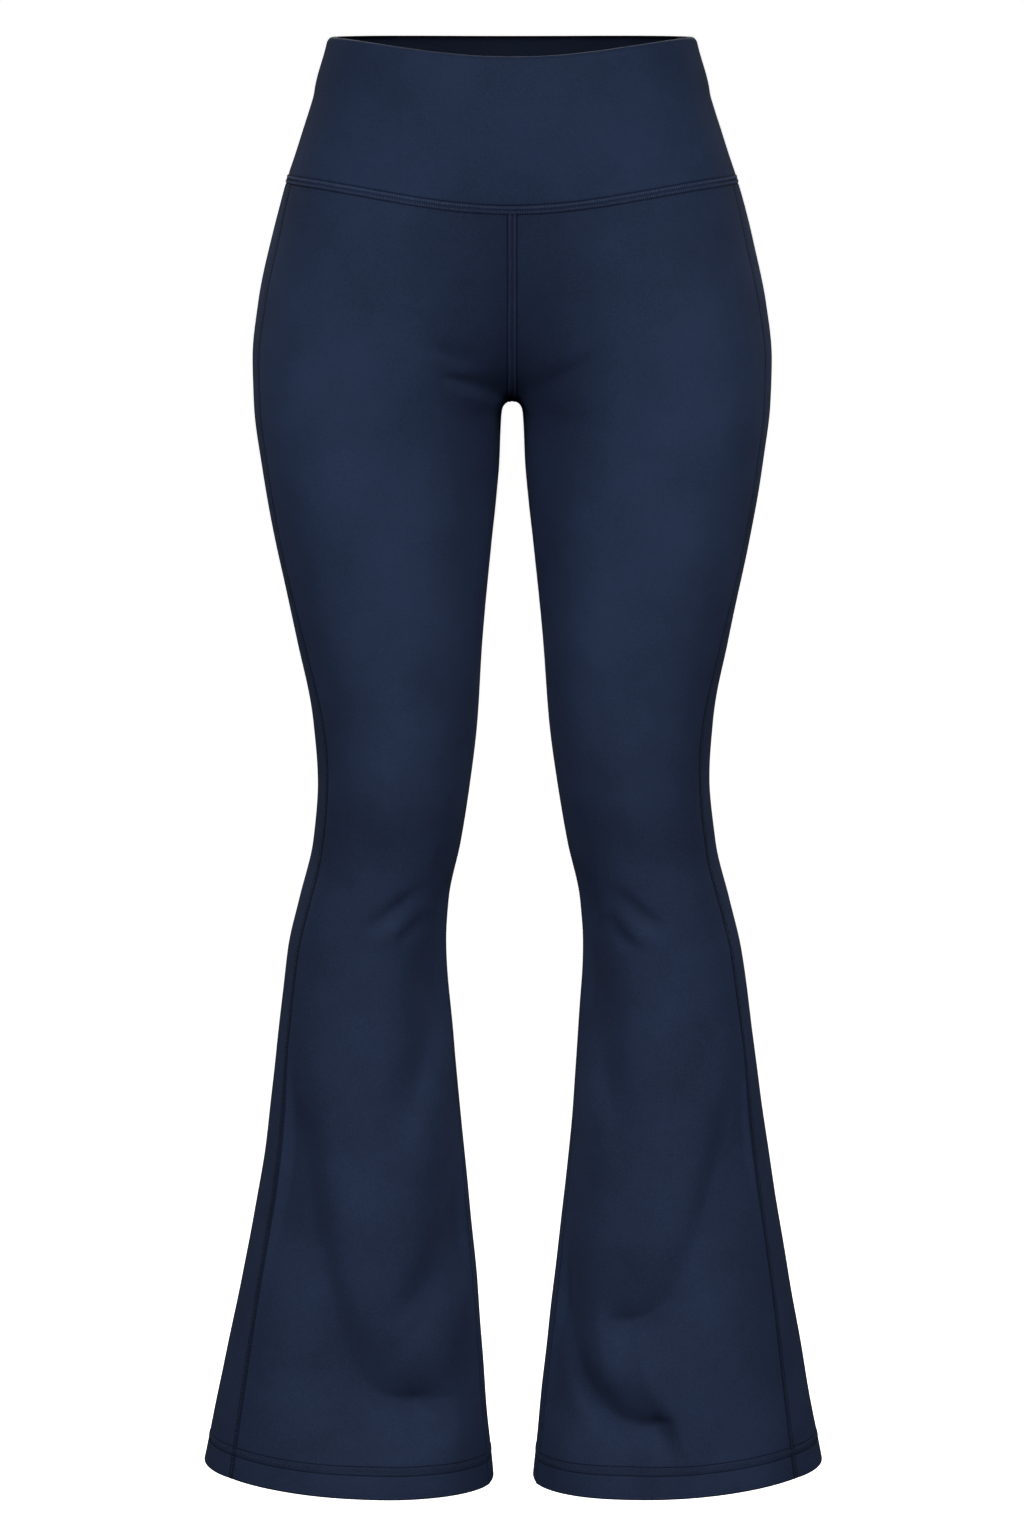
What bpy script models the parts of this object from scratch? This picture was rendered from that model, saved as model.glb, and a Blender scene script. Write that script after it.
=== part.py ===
"""Flared high-rise leggings in their worn shape, empty: a waistband in two halves and four leg panels.

Metres, +Z up. The origin is the middle of the waist opening, level with its edge at the sides.
The front faces -Y, and the wearer's left leg is at +X. Every piece is one closed wall of cloth.
Its outer face follows the garment's sections, which are read at any height from the tables below,
and its inner face lies one cloth thickness further in, square to the outer one.
"""

from typing import NamedTuple

import bmesh
import bpy
import numpy as np

# Cloth and sewing
LEG_WALL = 0.0016
BAND_WALL = 0.0024  # the band is the same knit folded double
HEM_WALL = 0.0028  # the knit with its turned allowance behind it
HEM_DEPTH = 0.020
SEAM_GAP = 0.0003

# Heights at the sides, and how far each line falls from there
YOKE_SIDE = -0.1005
HEM_SIDE = -1.0740
WAIST_DIP = {"front": 0.0108, "back": 0.0019}
YOKE_DIP = {"front": 0.0167, "back": 0.0085}
YOKE_BOW = 1.25  # 1 would be a straight fall from side to centre
HEM_DROP = 0.0155  # from the side seam to the inseam
HEM_BOW = 1.3
YOKE_DIP_ENDS = -0.2240  # below this, the rows of the legs run level
HEM_DROP_STARTS = -0.5840

# How finely each piece is drawn
BAND_ROWS = 6
BAND_COLUMNS = 11
LEG_COLUMNS = 13
HIP_ROWS = 8
LEG_ROWS = 28
CROTCH_STEPS = (0.00002, 0.0004, 0.0015, 0.0036)  # rows above and below the crotch, at its seams
FAN = 0.011  # the same rows stand this far apart at the side seam
ARC_SAMPLES = 64
BISECTIONS = 36
REACH = 0.30  # further than any wall is from the middle of its leg
PROBE = 0.0001  # step for slopes
NO_BLEND = 1e-9  # stands for a radius of nothing

COLOURS = {
    "waistband_front": (0.020, 0.028, 0.056),
    "waistband_back": (0.019, 0.027, 0.053),
    "leg_front": (0.021, 0.030, 0.062),
    "leg_back": (0.018, 0.026, 0.052),
}
ROUGHNESS = 0.82
SHARP_EDGE = np.radians(50)  # edges that turn more than this are drawn crisp


def table(columns, *rows):
    """A table with named columns, kept from its lowest row to its highest."""
    numbers = np.array(rows)[::-1]
    return dict(zip(columns.split(), numbers.T))


# Half of the garment's width, to the outermost point of a leg
OUTLINE = table(
    "z outer",
    (0.000, 0.1332),  # waist edge
    (-0.009, 0.1354),
    (-0.044, 0.1445),
    (-0.073, 0.1543),
    (-0.100, 0.1632),  # yoke seam
    (-0.145, 0.1756),
    (-0.190, 0.1854),
    (-0.233, 0.1902),  # fullest at the hip
    (-0.265, 0.1893),
    (-0.307, 0.1845),
    (-0.366, 0.1746),
    (-0.440, 0.1591),
    (-0.501, 0.1481),
    (-0.546, 0.1457),  # knee
    (-0.592, 0.1503),
    (-0.637, 0.1611),
    (-0.676, 0.1703),
    (-0.746, 0.1794),
    (-0.838, 0.1916),
    (-0.934, 0.2089),
    (-1.029, 0.2275),
    (-1.089, 0.2395),  # hem
)

# The innermost point of a leg. Where it is negative the two legs run into one another, and at the
# top they are one oval.
INSIDE = table(
    "z inner",
    (0.000, -0.1332),
    (-0.044, -0.1435),
    (-0.100, -0.1258),
    (-0.145, -0.0990),
    (-0.190, -0.0700),
    (-0.2195, -0.0388),
    (-0.2388, -0.0171),
    (-0.2504, -0.0050),
    (-0.2577, 0.0007),
    (-0.2628, 0.0038),  # crotch
    (-0.2660, 0.0063),
    (-0.2698, 0.0077),
    (-0.2776, 0.0084),
    (-0.307, 0.0096),
    (-0.336, 0.0121),
    (-0.366, 0.0154),
    (-0.440, 0.0225),
    (-0.501, 0.0267),
    (-0.546, 0.0324),
    (-0.592, 0.0399),
    (-0.637, 0.0493),
    (-0.669, 0.0513),  # widest between the legs
    (-0.746, 0.0466),
    (-0.838, 0.0389),
    (-0.934, 0.0292),
    (-1.029, 0.0206),
    (-1.089, 0.0151),
)

# The garment from the side: where it is widest, and how far it stands in front of that and behind
DEPTH = table(
    "z centre front back power",
    (0.000, -0.002, 0.082, 0.076, 2.10),
    (-0.057, -0.002, 0.093, 0.082, 2.15),
    (-0.100, 0.000, 0.099, 0.094, 2.20),
    (-0.152, 0.002, 0.103, 0.108, 2.20),
    (-0.200, 0.002, 0.103, 0.114, 2.20),
    (-0.239, 0.002, 0.100, 0.110, 2.15),
    (-0.287, 0.001, 0.095, 0.099, 2.10),
    (-0.365, -0.002, 0.086, 0.082, 2.05),
    (-0.444, -0.005, 0.073, 0.069, 2.05),
    (-0.544, -0.004, 0.061, 0.057, 2.05),
    (-0.624, 0.003, 0.056, 0.063, 2.00),
    (-0.705, 0.006, 0.059, 0.068, 2.00),
    (-0.838, 0.006, 0.070, 0.074, 2.00),
    (-0.952, 0.005, 0.077, 0.079, 2.00),
    (-1.089, 0.004, 0.083, 0.086, 2.00),
)

# How softly the two legs run into one another
BLEND = table(
    "z radius",
    (0.000, 0.000),
    (-0.047, 0.000),
    (-0.100, 0.010),
    (-0.181, 0.044),
    (-0.229, 0.039),
    (-0.250, 0.023),
    (-0.260, 0.015),
    (-1.089, 0.016),
)

# Where the seams run, as distances in front of (negative) or behind the middle of the garment
SEAMS = table(
    "z side inseam",
    (0.000, -0.011, 0.000),
    (-0.100, -0.021, 0.000),
    (-0.152, -0.028, 0.000),
    (-0.268, -0.029, 0.001),
    (-0.365, -0.025, 0.000),
    (-0.444, -0.026, 0.000),
    (-0.544, -0.030, 0.000),
    (-0.675, -0.031, 0.002),
    (-0.797, -0.034, -0.004),
    (-0.921, -0.041, -0.014),
    (-1.015, -0.049, -0.023),
    (-1.089, -0.057, -0.030),
)

# The legs hang a little to the wearer's left
SWAY = table(
    "z shift",
    (0.000, 0.0000),
    (-0.268, 0.0001),
    (-0.434, 0.0005),
    (-0.564, 0.0014),
    (-0.695, 0.0021),
    (-0.787, 0.0032),
    (-0.849, 0.0035),
    (-0.932, 0.0027),
    (-1.026, 0.0012),
    (-1.089, 0.0008),
)


class Fold(NamedTuple):
    """A soft trough in the cloth, or a ridge where its depth is negative.

    Its route is a list of places (out, z): the distance out from the garment's middle plane, and the
    height. It is seen from the front or from the back.
    """

    leg: str
    face: str
    width: float
    depth: float
    route: tuple


FOLDS = (
    # The flare hangs from the knee in long swags that cross the front of each leg
    Fold("right", "front", 0.020, 0.0075, (
        (0.157, -0.726), (0.147, -0.798), (0.136, -0.857), (0.122, -0.927), (0.106, -0.974), (0.081, -0.991),
        (0.049, -0.999))),
    Fold("right", "front", 0.018, 0.0050, (
        (0.050, -0.818), (0.060, -0.881), (0.078, -0.914), (0.103, -0.928))),
    Fold("right", "front", 0.030, -0.0040, ((0.097, -0.726), (0.092, -0.808), (0.086, -0.870))),
    Fold("left", "front", 0.020, 0.0070, (
        (0.046, -0.849), (0.052, -0.922), (0.066, -0.980), (0.091, -1.009), (0.123, -1.018))),
    Fold("left", "front", 0.018, 0.0055, (
        (0.155, -0.736), (0.145, -0.818), (0.122, -0.886), (0.092, -0.930), (0.066, -0.945))),
    Fold("left", "front", 0.018, 0.0035, ((0.074, -0.752), (0.087, -0.813), (0.103, -0.852))),
    Fold("left", "front", 0.028, -0.0035, ((0.115, -0.747), (0.110, -0.829))),
    # Short drags under the knee
    Fold("right", "front", 0.011, 0.0030, ((0.117, -0.653), (0.093, -0.635), (0.061, -0.610))),
    Fold("left", "front", 0.011, 0.0030, ((0.063, -0.613), (0.083, -0.630), (0.109, -0.649))),
    # Drags that fan out from the crotch
    Fold("right", "front", 0.009, 0.0022, ((0.060, -0.212), (0.039, -0.222), (0.018, -0.230))),
    Fold("right", "front", 0.008, 0.0022, ((0.049, -0.235), (0.029, -0.240), (0.010, -0.247))),
    Fold("left", "front", 0.011, 0.0022, ((0.064, -0.216), (0.039, -0.232), (0.010, -0.248))),
    # The hidden back: the same swags, hung from the hollow of the knee
    Fold("right", "back", 0.021, 0.0060, (
        (0.056, -0.725), (0.062, -0.818), (0.078, -0.895), (0.105, -0.955), (0.143, -0.986))),
    Fold("right", "back", 0.018, 0.0045, (
        (0.159, -0.746), (0.150, -0.838), (0.126, -0.900), (0.100, -0.921))),
    Fold("left", "back", 0.021, 0.0060, (
        (0.157, -0.731), (0.149, -0.823), (0.130, -0.906), (0.100, -0.961), (0.064, -0.984))),
    Fold("left", "back", 0.018, 0.0045, (
        (0.060, -0.777), (0.068, -0.854), (0.090, -0.909), (0.116, -0.925))),
    Fold("right", "back", 0.010, 0.0028, ((0.055, -0.554), (0.085, -0.569), (0.120, -0.560))),
    Fold("left", "back", 0.010, 0.0028, ((0.053, -0.566), (0.086, -0.580), (0.122, -0.568))),
    Fold("right", "back", 0.012, 0.0025, ((0.025, -0.264), (0.058, -0.280), (0.107, -0.276))),
    Fold("left", "back", 0.012, 0.0025, ((0.023, -0.272), (0.060, -0.287), (0.103, -0.285))),
)
FOLD_TAPER = 0.7  # a fold fades towards both ends of its route, and less gently as this falls
FOLD_STEPS = 20
FACING = (0.15, 0.45)  # how squarely the cloth faces the viewer where a fold starts and is full


def smooth_step(low, high, value):
    """0 below low, 1 above high, and an S between them."""
    t = np.clip((value - low) / (high - low), 0.0, 1.0)
    return t * t * (3 - 2 * t)


def read(rows, column, z):
    """A column's value at height z, on a smooth curve that never overshoots the table's rows."""
    heights, values = rows["z"], rows[column]
    step = np.diff(heights)
    slope = np.diff(values) / step
    tangent = np.zeros_like(values)
    tangent[0], tangent[-1] = slope[0], slope[-1]
    same_way = slope[:-1] * slope[1:] > 0
    first, second = slope[:-1][same_way], slope[1:][same_way]
    tangent[1:-1][same_way] = 2 * first * second / (first + second)
    row = np.clip(np.searchsorted(heights, z) - 1, 0, len(step) - 1)
    t = np.clip((z - heights[row]) / step[row], 0.0, 1.0)
    return (
        (1 + 2 * t) * (1 - t) ** 2 * values[row]
        + t**2 * (3 - 2 * t) * values[row + 1]
        + step[row] * t * (1 - t) * ((1 - t) * tangent[row] - t * tangent[row + 1])
    )


class Section(NamedTuple):
    """What the tables say at one height, or at an array of heights."""

    outer: np.ndarray
    inner: np.ndarray
    centre: np.ndarray
    front: np.ndarray
    back: np.ndarray
    power: np.ndarray
    blend: np.ndarray

    @property
    def middle(self):
        """A place inside the wearer's left half, from which its whole outline is seen."""
        return (self.outer + np.maximum(self.inner, 0.0)) / 2


def section(z):
    """The garment's section at height z."""
    shape = (read(DEPTH, column, z) for column in ("centre", "front", "back", "power"))
    return Section(read(OUTLINE, "outer", z), read(INSIDE, "inner", z), *shape, read(BLEND, "radius", z))


def outside_leg(x, y, cut):
    """How far a point lies outside the left leg's oval, about. It is negative inside."""
    half = (cut.outer - cut.inner) / 2
    across = np.abs((x - (cut.outer + cut.inner) / 2) / half)
    along = np.abs((y - cut.centre) / np.where(y < cut.centre, cut.front, cut.back))
    return ((across**cut.power + along**cut.power) ** (1 / cut.power) - 1) * half


def outside_garment(x, y, cut):
    """The same for both legs, run softly into one another."""
    left, right = outside_leg(x, y, cut), outside_leg(-x, y, cut)
    soft = np.maximum(cut.blend, NO_BLEND)
    overlap = np.maximum(soft - np.abs(left - right), 0.0) / soft
    return np.minimum(left, right) - overlap**2 * soft / 4


def march(x, y, towards_x, towards_y, cut):
    """The surface of the garment's left half, from a place inside it in the direction given."""
    shape = np.broadcast(x, y, towards_x, towards_y, cut.outer).shape
    near, far = np.zeros(shape), np.full(shape, REACH)
    for _ in range(BISECTIONS):
        half_way = (near + far) / 2
        at_x, at_y = x + half_way * towards_x, y + half_way * towards_y
        out = (outside_garment(at_x, at_y, cut) > 0) | (at_x < 0)
        near, far = np.where(out, near, half_way), np.where(out, half_way, far)
    return x + near * towards_x, y + near * towards_y


def crotch_height():
    """The height at which the two legs part."""
    low, high = HEM_SIDE / 2, YOKE_SIDE
    for _ in range(BISECTIONS):
        z = (low + high) / 2
        cut = section(z)
        if outside_garment(0.0, cut.centre, cut) > 0:
            low = z
        else:
            high = z
    return (low + high) / 2


def turn_of(x, y, cut, way):
    """The turn about the half's middle, from its outer side (0) by the face seen to its inner side (pi)."""
    return np.pi - np.arctan2(way * (y - cut.centre), cut.middle - x)


def ends_of_row(z, way, crotch):
    """The turns at which a panel starts, at the side seam, and ends, at the centre seam or the inseam."""
    cut = section(z)
    half_gap = SEAM_GAP / 2
    side = march(cut.middle, read(SEAMS, "side", z), 1.0, 0.0, cut)
    start = np.arctan2(way * (side[1] - cut.centre), side[0] - cut.middle)
    start += half_gap / np.hypot(side[0] - cut.middle, side[1] - cut.centre)
    inseam = march(cut.middle, read(SEAMS, "inseam", z), -1.0, 0.0, cut)
    end_of_leg = turn_of(*inseam, cut, way)
    end_of_leg -= half_gap / np.hypot(inseam[0] - cut.middle, inseam[1] - cut.centre)
    centre_seam = march(half_gap, cut.centre, 0.0, way, cut)
    return start, np.where(z < crotch, end_of_leg, turn_of(*centre_seam, cut, way))


def outer_face(z, share, way, crotch):
    """Points of a half's outer face at heights z, each a share of the way from the side seam to its end."""
    start, end = ends_of_row(z, way, crotch)
    cut = Section(*(column[..., None] for column in section(z)))
    turn = start[..., None] + (end - start)[..., None] * np.linspace(0, 1, ARC_SAMPLES)
    x, y = march(cut.middle, cut.centre, np.cos(turn), way * np.sin(turn), cut)
    step = np.hypot(np.diff(x), np.diff(y))
    length = np.concatenate([np.zeros_like(step[..., :1]), np.cumsum(step, axis=-1)], axis=-1)
    wanted = share * length[..., -1]
    turn = [np.interp(*sought) for sought in zip(wanted.flat, flat(length), flat(turn))]
    turn = np.array(turn).reshape(z.shape)
    cut = section(z)
    x, y = march(cut.middle, cut.centre, np.cos(turn), way * np.sin(turn), cut)
    return np.stack([x, y, z], axis=-1)


def flat(array):
    """The array as a list of its last rows."""
    return array.reshape(-1, array.shape[-1])


def slopes(points):
    """The unit normals of the garment's surface, which point outwards."""
    x, y, z = np.moveaxis(points, -1, 0)
    here, above, below = section(z), section(z + PROBE), section(z - PROBE)
    normal = np.stack(
        [
            outside_garment(x + PROBE, y, here) - outside_garment(x - PROBE, y, here),
            outside_garment(x, y + PROBE, here) - outside_garment(x, y - PROBE, here),
            outside_garment(x, y, above) - outside_garment(x, y, below),
        ],
        axis=-1,
    )
    return normal / np.linalg.norm(normal, axis=-1, keepdims=True)


def smooth_route(route):
    """A fold's route as a Catmull-Rom curve through its places."""
    ends = np.array(route)
    places = np.vstack([2 * ends[0] - ends[1], ends, 2 * ends[-1] - ends[-2]])
    curve = [ends[0]]
    for a, b, c, d in zip(places, places[1:], places[2:], places[3:]):
        for t in np.linspace(0, 1, FOLD_STEPS + 1)[1:]:
            bend = (2 * a - 5 * b + 4 * c - d) * t**2 + (3 * b - a - 3 * c + d) * t**3
            curve.append(b + ((c - a) * t + bend) / 2)
    return np.array(curve)


def fold_depth(points, normals, leg):
    """How far the folds push each point in."""
    push = np.zeros(points.shape[:-1])
    place = points[..., [0, 2]]
    for fold in FOLDS:
        if fold.leg != leg:
            continue
        way = -1 if fold.face == "front" else 1
        route = smooth_route(fold.route)
        away = np.linalg.norm(place[..., None, :] - route, axis=-1)
        nearest = np.argmin(away, axis=-1) / (len(route) - 1)
        taper = np.sin(np.pi * nearest) ** FOLD_TAPER
        facing = smooth_step(*FACING, way * normals[..., 1])
        push += fold.depth * taper * facing * np.exp(-((away.min(axis=-1) / fold.width) ** 2))
    return push


def row_heights(crotch, near):
    """The heights of a leg panel's rows, from the yoke to the hem, with some near the crotch."""
    fold_line = HEM_SIDE + HEM_DEPTH
    hip = np.linspace(YOKE_SIDE - SEAM_GAP / 2, crotch + near[-1], HIP_ROWS + 1)[:-1]
    leg = np.linspace(crotch - near[-1], fold_line, LEG_ROWS + 1)[1:]
    hem = [fold_line - HEM_DEPTH / 2, HEM_SIDE]
    return np.concatenate([hip, crotch + near[::-1], crotch - near, leg, hem])


def leg_panel(leg, face):
    """A leg panel's outer and inner points, as for the wearer's left leg."""
    way = -1 if face == "front" else 1
    crotch = crotch_height()
    at_seam = row_heights(crotch, np.array(CROTCH_STEPS))
    at_side = row_heights(crotch, FAN * (np.arange(len(CROTCH_STEPS)) + 0.5))
    share = np.linspace(0, 1, LEG_COLUMNS + 1)[None, :]
    rows = at_side[:, None] + (at_seam - at_side)[:, None] * share**2
    yoke_fall = YOKE_DIP[face] * share**YOKE_BOW * smooth_step(YOKE_DIP_ENDS, YOKE_SIDE, rows)
    below_knee = np.clip((HEM_DROP_STARTS - rows) / (HEM_DROP_STARTS - HEM_SIDE), 0.0, 1.0)
    base = outer_face(rows - yoke_fall - HEM_DROP * share**HEM_BOW * below_knee, share, way, crotch)
    normals = slopes(base)
    outer = base - normals * fold_depth(base, normals, leg)[..., None]
    wall = np.where(rows < HEM_SIDE + HEM_DEPTH, HEM_WALL, LEG_WALL)
    inner = outer - normals * wall[..., None]
    above = at_seam > crotch
    outer[above, -1, 0] = inner[above, -1, 0] = SEAM_GAP / 2
    return outer, inner


def band_half(face):
    """Outer and inner points of the left half of the waistband's front or back, from side to centre."""
    way = -1 if face == "front" else 1
    down = np.linspace(0, 1, BAND_ROWS + 1)[:, None]
    share = np.linspace(0, 1, BAND_COLUMNS + 1)[None, :]
    top = -WAIST_DIP[face] * np.sin(np.pi * share / 2) ** 2
    bottom = YOKE_SIDE + SEAM_GAP / 2 - YOKE_DIP[face] * share**YOKE_BOW
    base = outer_face(top + (bottom - top) * down, share, way, crotch_height())
    outer, inner = base, base - slopes(base) * BAND_WALL
    outer[:, -1, 0] = inner[:, -1, 0] = 0.0
    return outer, inner


def mirrored(points):
    """The same points on the wearer's right."""
    return points * np.array([-1.0, 1.0, 1.0])


def swayed(points):
    """The points with the legs' lean to one side."""
    shift = np.zeros_like(points)
    shift[..., 0] = read(SWAY, "shift", points[..., 2])
    return points + shift


def wall_mesh(name, outer, inner):
    """A closed wall between two grids of points."""
    shell = bmesh.new()
    grids = [[[shell.verts.new(p) for p in row] for row in swayed(grid)] for grid in (outer, inner)]
    rows, columns = outer.shape[0] - 1, outer.shape[1] - 1
    for i in range(rows):
        for j in range(columns):
            for grid in grids:
                shell.faces.new((grid[i][j], grid[i + 1][j], grid[i + 1][j + 1], grid[i][j + 1]))
    for i in range(rows):
        for j in (0, columns):
            shell.faces.new((grids[0][i][j], grids[0][i + 1][j], grids[1][i + 1][j], grids[1][i][j]))
    for j in range(columns):
        for i in (0, rows):
            shell.faces.new((grids[0][i][j], grids[0][i][j + 1], grids[1][i][j + 1], grids[1][i][j]))
    bmesh.ops.recalc_face_normals(shell, faces=shell.faces)
    mesh = bpy.data.meshes.new(name)
    shell.to_mesh(mesh)
    shell.free()
    mesh.shade_smooth()
    mesh.set_sharp_from_angle(angle=SHARP_EDGE)
    return mesh


def cloth_material(name, colour):
    """A matt knit in one colour."""
    material = bpy.data.materials.new(name)
    material.use_nodes = True
    shader = material.node_tree.nodes["Principled BSDF"]
    shader.inputs["Base Color"].default_value = (*colour, 1.0)
    shader.inputs["Roughness"].default_value = ROUGHNESS
    shader.inputs["Metallic"].default_value = 0.0
    material.diffuse_color = (*colour, 1.0)
    return material


def add_piece(name, outer, inner, material, parent):
    """A named object for one piece of the garment."""
    mesh = wall_mesh(name, outer, inner)
    mesh.materials.append(material)
    piece = bpy.data.objects.new(name, mesh)
    piece.parent = parent
    bpy.context.scene.collection.objects.link(piece)


def build():
    """The whole garment."""
    for obj in list(bpy.data.objects):
        bpy.data.objects.remove(obj)
    garment = bpy.data.objects.new("leggings", None)
    bpy.context.scene.collection.objects.link(garment)
    for face in ("front", "back"):
        name = f"waistband_{face}"
        halves = [np.concatenate([mirrored(grid)[:, :-1], grid[:, ::-1]], axis=1) for grid in band_half(face)]
        add_piece(name, *halves, cloth_material(name, COLOURS[name]), garment)
        for leg in ("left", "right"):
            outer, inner = leg_panel(leg, face)
            if leg == "right":
                outer, inner = mirrored(outer), mirrored(inner)
            name = f"leg_{face}_{leg}"
            add_piece(name, outer, inner, cloth_material(name, COLOURS[f"leg_{face}"]), garment)


build()
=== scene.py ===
"""Flared high-rise leggings in navy knit, in their worn shape with nobody in them.

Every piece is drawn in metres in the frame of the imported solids: the origin is the middle of the
waist opening, +Z is up, the front faces -Y and the wearer's left leg is at +X. Each cloth piece is a
thin closed shell on the form of the solid that it stands for. The seams are flat ribbons of the
same cloth, raised a little, with rows of thread laid on them.
"""

from __future__ import annotations

import logging
import math
from collections.abc import Callable
from dataclasses import dataclass, field
from enum import Enum
from functools import cached_property, partial
from typing import Any, NamedTuple

import bmesh
import bpy
import numpy as np
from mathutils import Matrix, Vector

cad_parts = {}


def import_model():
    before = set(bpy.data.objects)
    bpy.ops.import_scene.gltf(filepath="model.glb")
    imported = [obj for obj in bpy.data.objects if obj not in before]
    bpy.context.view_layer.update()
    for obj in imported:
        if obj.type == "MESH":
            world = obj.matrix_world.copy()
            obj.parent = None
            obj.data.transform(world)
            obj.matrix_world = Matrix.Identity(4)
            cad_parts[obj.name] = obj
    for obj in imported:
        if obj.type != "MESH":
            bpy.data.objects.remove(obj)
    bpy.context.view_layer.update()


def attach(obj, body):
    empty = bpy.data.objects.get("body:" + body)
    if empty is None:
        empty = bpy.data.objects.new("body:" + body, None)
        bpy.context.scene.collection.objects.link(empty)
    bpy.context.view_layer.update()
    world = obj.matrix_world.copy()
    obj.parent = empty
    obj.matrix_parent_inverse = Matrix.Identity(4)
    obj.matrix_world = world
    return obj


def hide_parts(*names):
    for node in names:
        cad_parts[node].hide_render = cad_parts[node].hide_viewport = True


log = logging.getLogger("leggings")

Array = np.ndarray
Place = tuple[float, float, float]
Piece = bpy.types.Object
Tree = bpy.types.NodeTree

BODY = "root"
CLOTH_UV = "cloth"
# The name of the attribute that holds the painted shade and the darker seam tone
SEAM_TONE_AND_PAINTED_SHADE = "groove"
# Painted shade: how dark the cloth is drawn on its inside and round its folded edges, as a share of a
# pressed line's painted shade
PAINTED_INSIDE_SHADE = 0.85
# Painted shade on the folded edges, which darkens the rolled rim where the light from above catches it
PAINTED_RIM_SHADE = 0.85
# Steps round the half circle of a folded edge
RIM_STEPS = 5


class Leg(Enum):
    """Which of the wearer's legs a piece is on."""

    LEFT = "left"
    RIGHT = "right"

    @property
    def side(self) -> int:
        """The sign of X on this leg."""
        return 1 if self is Leg.LEFT else -1


class Face(Enum):
    """Whether a piece is on the front or on the back."""

    FRONT = "front"
    BACK = "back"

    @property
    def way(self) -> int:
        """The sign of Y on this face."""
        return -1 if self is Face.FRONT else 1


# ---- Sizes that change with height, and the folds ----


@dataclass(frozen=True)
class HeightTable:
    """Sizes that change with height: named columns, and a row per height from the waist down."""

    columns: str
    rows: tuple[tuple[float, ...], ...]

    def read(self, column: str, z: Array) -> Array:
        """A column's value on a smooth curve that never overshoots the rows.

        Args:
            column: The column's name.
            z: Heights in metres.

        Returns:
            The value at each height.
        """
        numbers = np.array(self.rows)[::-1].T
        heights, values = numbers[0], numbers[self.columns.split().index(column)]
        step = np.diff(heights)
        slope = np.diff(values) / step
        tangent = np.zeros_like(values)
        tangent[0], tangent[-1] = slope[0], slope[-1]
        same_way = slope[:-1] * slope[1:] > 0
        first, second = slope[:-1][same_way], slope[1:][same_way]
        tangent[1:-1][same_way] = 2 * first * second / (first + second)
        row = np.clip(np.searchsorted(heights, z) - 1, 0, len(step) - 1)
        t = np.clip((z - heights[row]) / step[row], 0.0, 1.0)
        return (
            (1 + 2 * t) * (1 - t) ** 2 * values[row]
            + t**2 * (3 - 2 * t) * values[row + 1]
            + step[row] * t * (1 - t) * ((1 - t) * tangent[row] - t * tangent[row + 1])
        )


# Half of the garment's width, to the outermost point of a leg
OUTLINE = HeightTable("z outer", (
    (0.010, 0.1308), (0.000, 0.1332), (-0.009, 0.1354), (-0.044, 0.1445), (-0.073, 0.1543),
    (-0.100, 0.1632), (-0.145, 0.1756), (-0.190, 0.1854), (-0.233, 0.1902), (-0.265, 0.1893),
    (-0.307, 0.1845), (-0.366, 0.1746), (-0.440, 0.1591), (-0.501, 0.1481), (-0.546, 0.1457),
    (-0.592, 0.1503), (-0.637, 0.1611), (-0.676, 0.1703), (-0.746, 0.1794), (-0.838, 0.1916),
    (-0.934, 0.2089), (-1.029, 0.2275), (-1.089, 0.2395),
))

# The innermost point of a leg, negative where the two legs run into one another
INSIDE = HeightTable("z inner", (
    (0.010, -0.1308), (0.000, -0.1332), (-0.044, -0.1435), (-0.100, -0.1258), (-0.145, -0.0990),
    (-0.190, -0.0700), (-0.2195, -0.0388), (-0.2388, -0.0171), (-0.2504, -0.0050), (-0.2577, 0.0007),
    (-0.2628, 0.0038), (-0.2660, 0.0063), (-0.2698, 0.0077), (-0.2776, 0.0084), (-0.307, 0.0096),
    (-0.336, 0.0121), (-0.366, 0.0154), (-0.440, 0.0225), (-0.501, 0.0267), (-0.546, 0.0324),
    (-0.592, 0.0399), (-0.637, 0.0493), (-0.669, 0.0513), (-0.746, 0.0466), (-0.838, 0.0389),
    (-0.934, 0.0292), (-1.029, 0.0206), (-1.089, 0.0151),
))

# From the side: where it is widest, and how far it stands in front of that and behind
DEPTH = HeightTable("z centre front back power", (
    (0.010, -0.002, 0.0801, 0.0749, 2.09), (0.000, -0.002, 0.082, 0.076, 2.10),
    (-0.057, -0.002, 0.093, 0.082, 2.15), (-0.100, 0.000, 0.099, 0.094, 2.20),
    (-0.152, 0.002, 0.103, 0.108, 2.20), (-0.200, 0.002, 0.103, 0.114, 2.20),
    (-0.239, 0.002, 0.100, 0.110, 2.15), (-0.287, 0.001, 0.095, 0.099, 2.10),
    (-0.365, -0.002, 0.086, 0.082, 2.05), (-0.444, -0.005, 0.073, 0.069, 2.05),
    (-0.544, -0.004, 0.061, 0.057, 2.05), (-0.624, 0.003, 0.056, 0.063, 2.00),
    (-0.705, 0.006, 0.059, 0.068, 2.00), (-0.838, 0.006, 0.070, 0.074, 2.00),
    (-0.952, 0.005, 0.077, 0.079, 2.00), (-1.089, 0.004, 0.083, 0.086, 2.00),
))

# How softly the two legs run into one another
BLEND = HeightTable("z radius", (
    (0.000, 0.000), (-0.047, 0.000), (-0.100, 0.010), (-0.181, 0.044), (-0.229, 0.039), (-0.250, 0.023),
    (-0.260, 0.015), (-1.089, 0.016),
))

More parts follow.
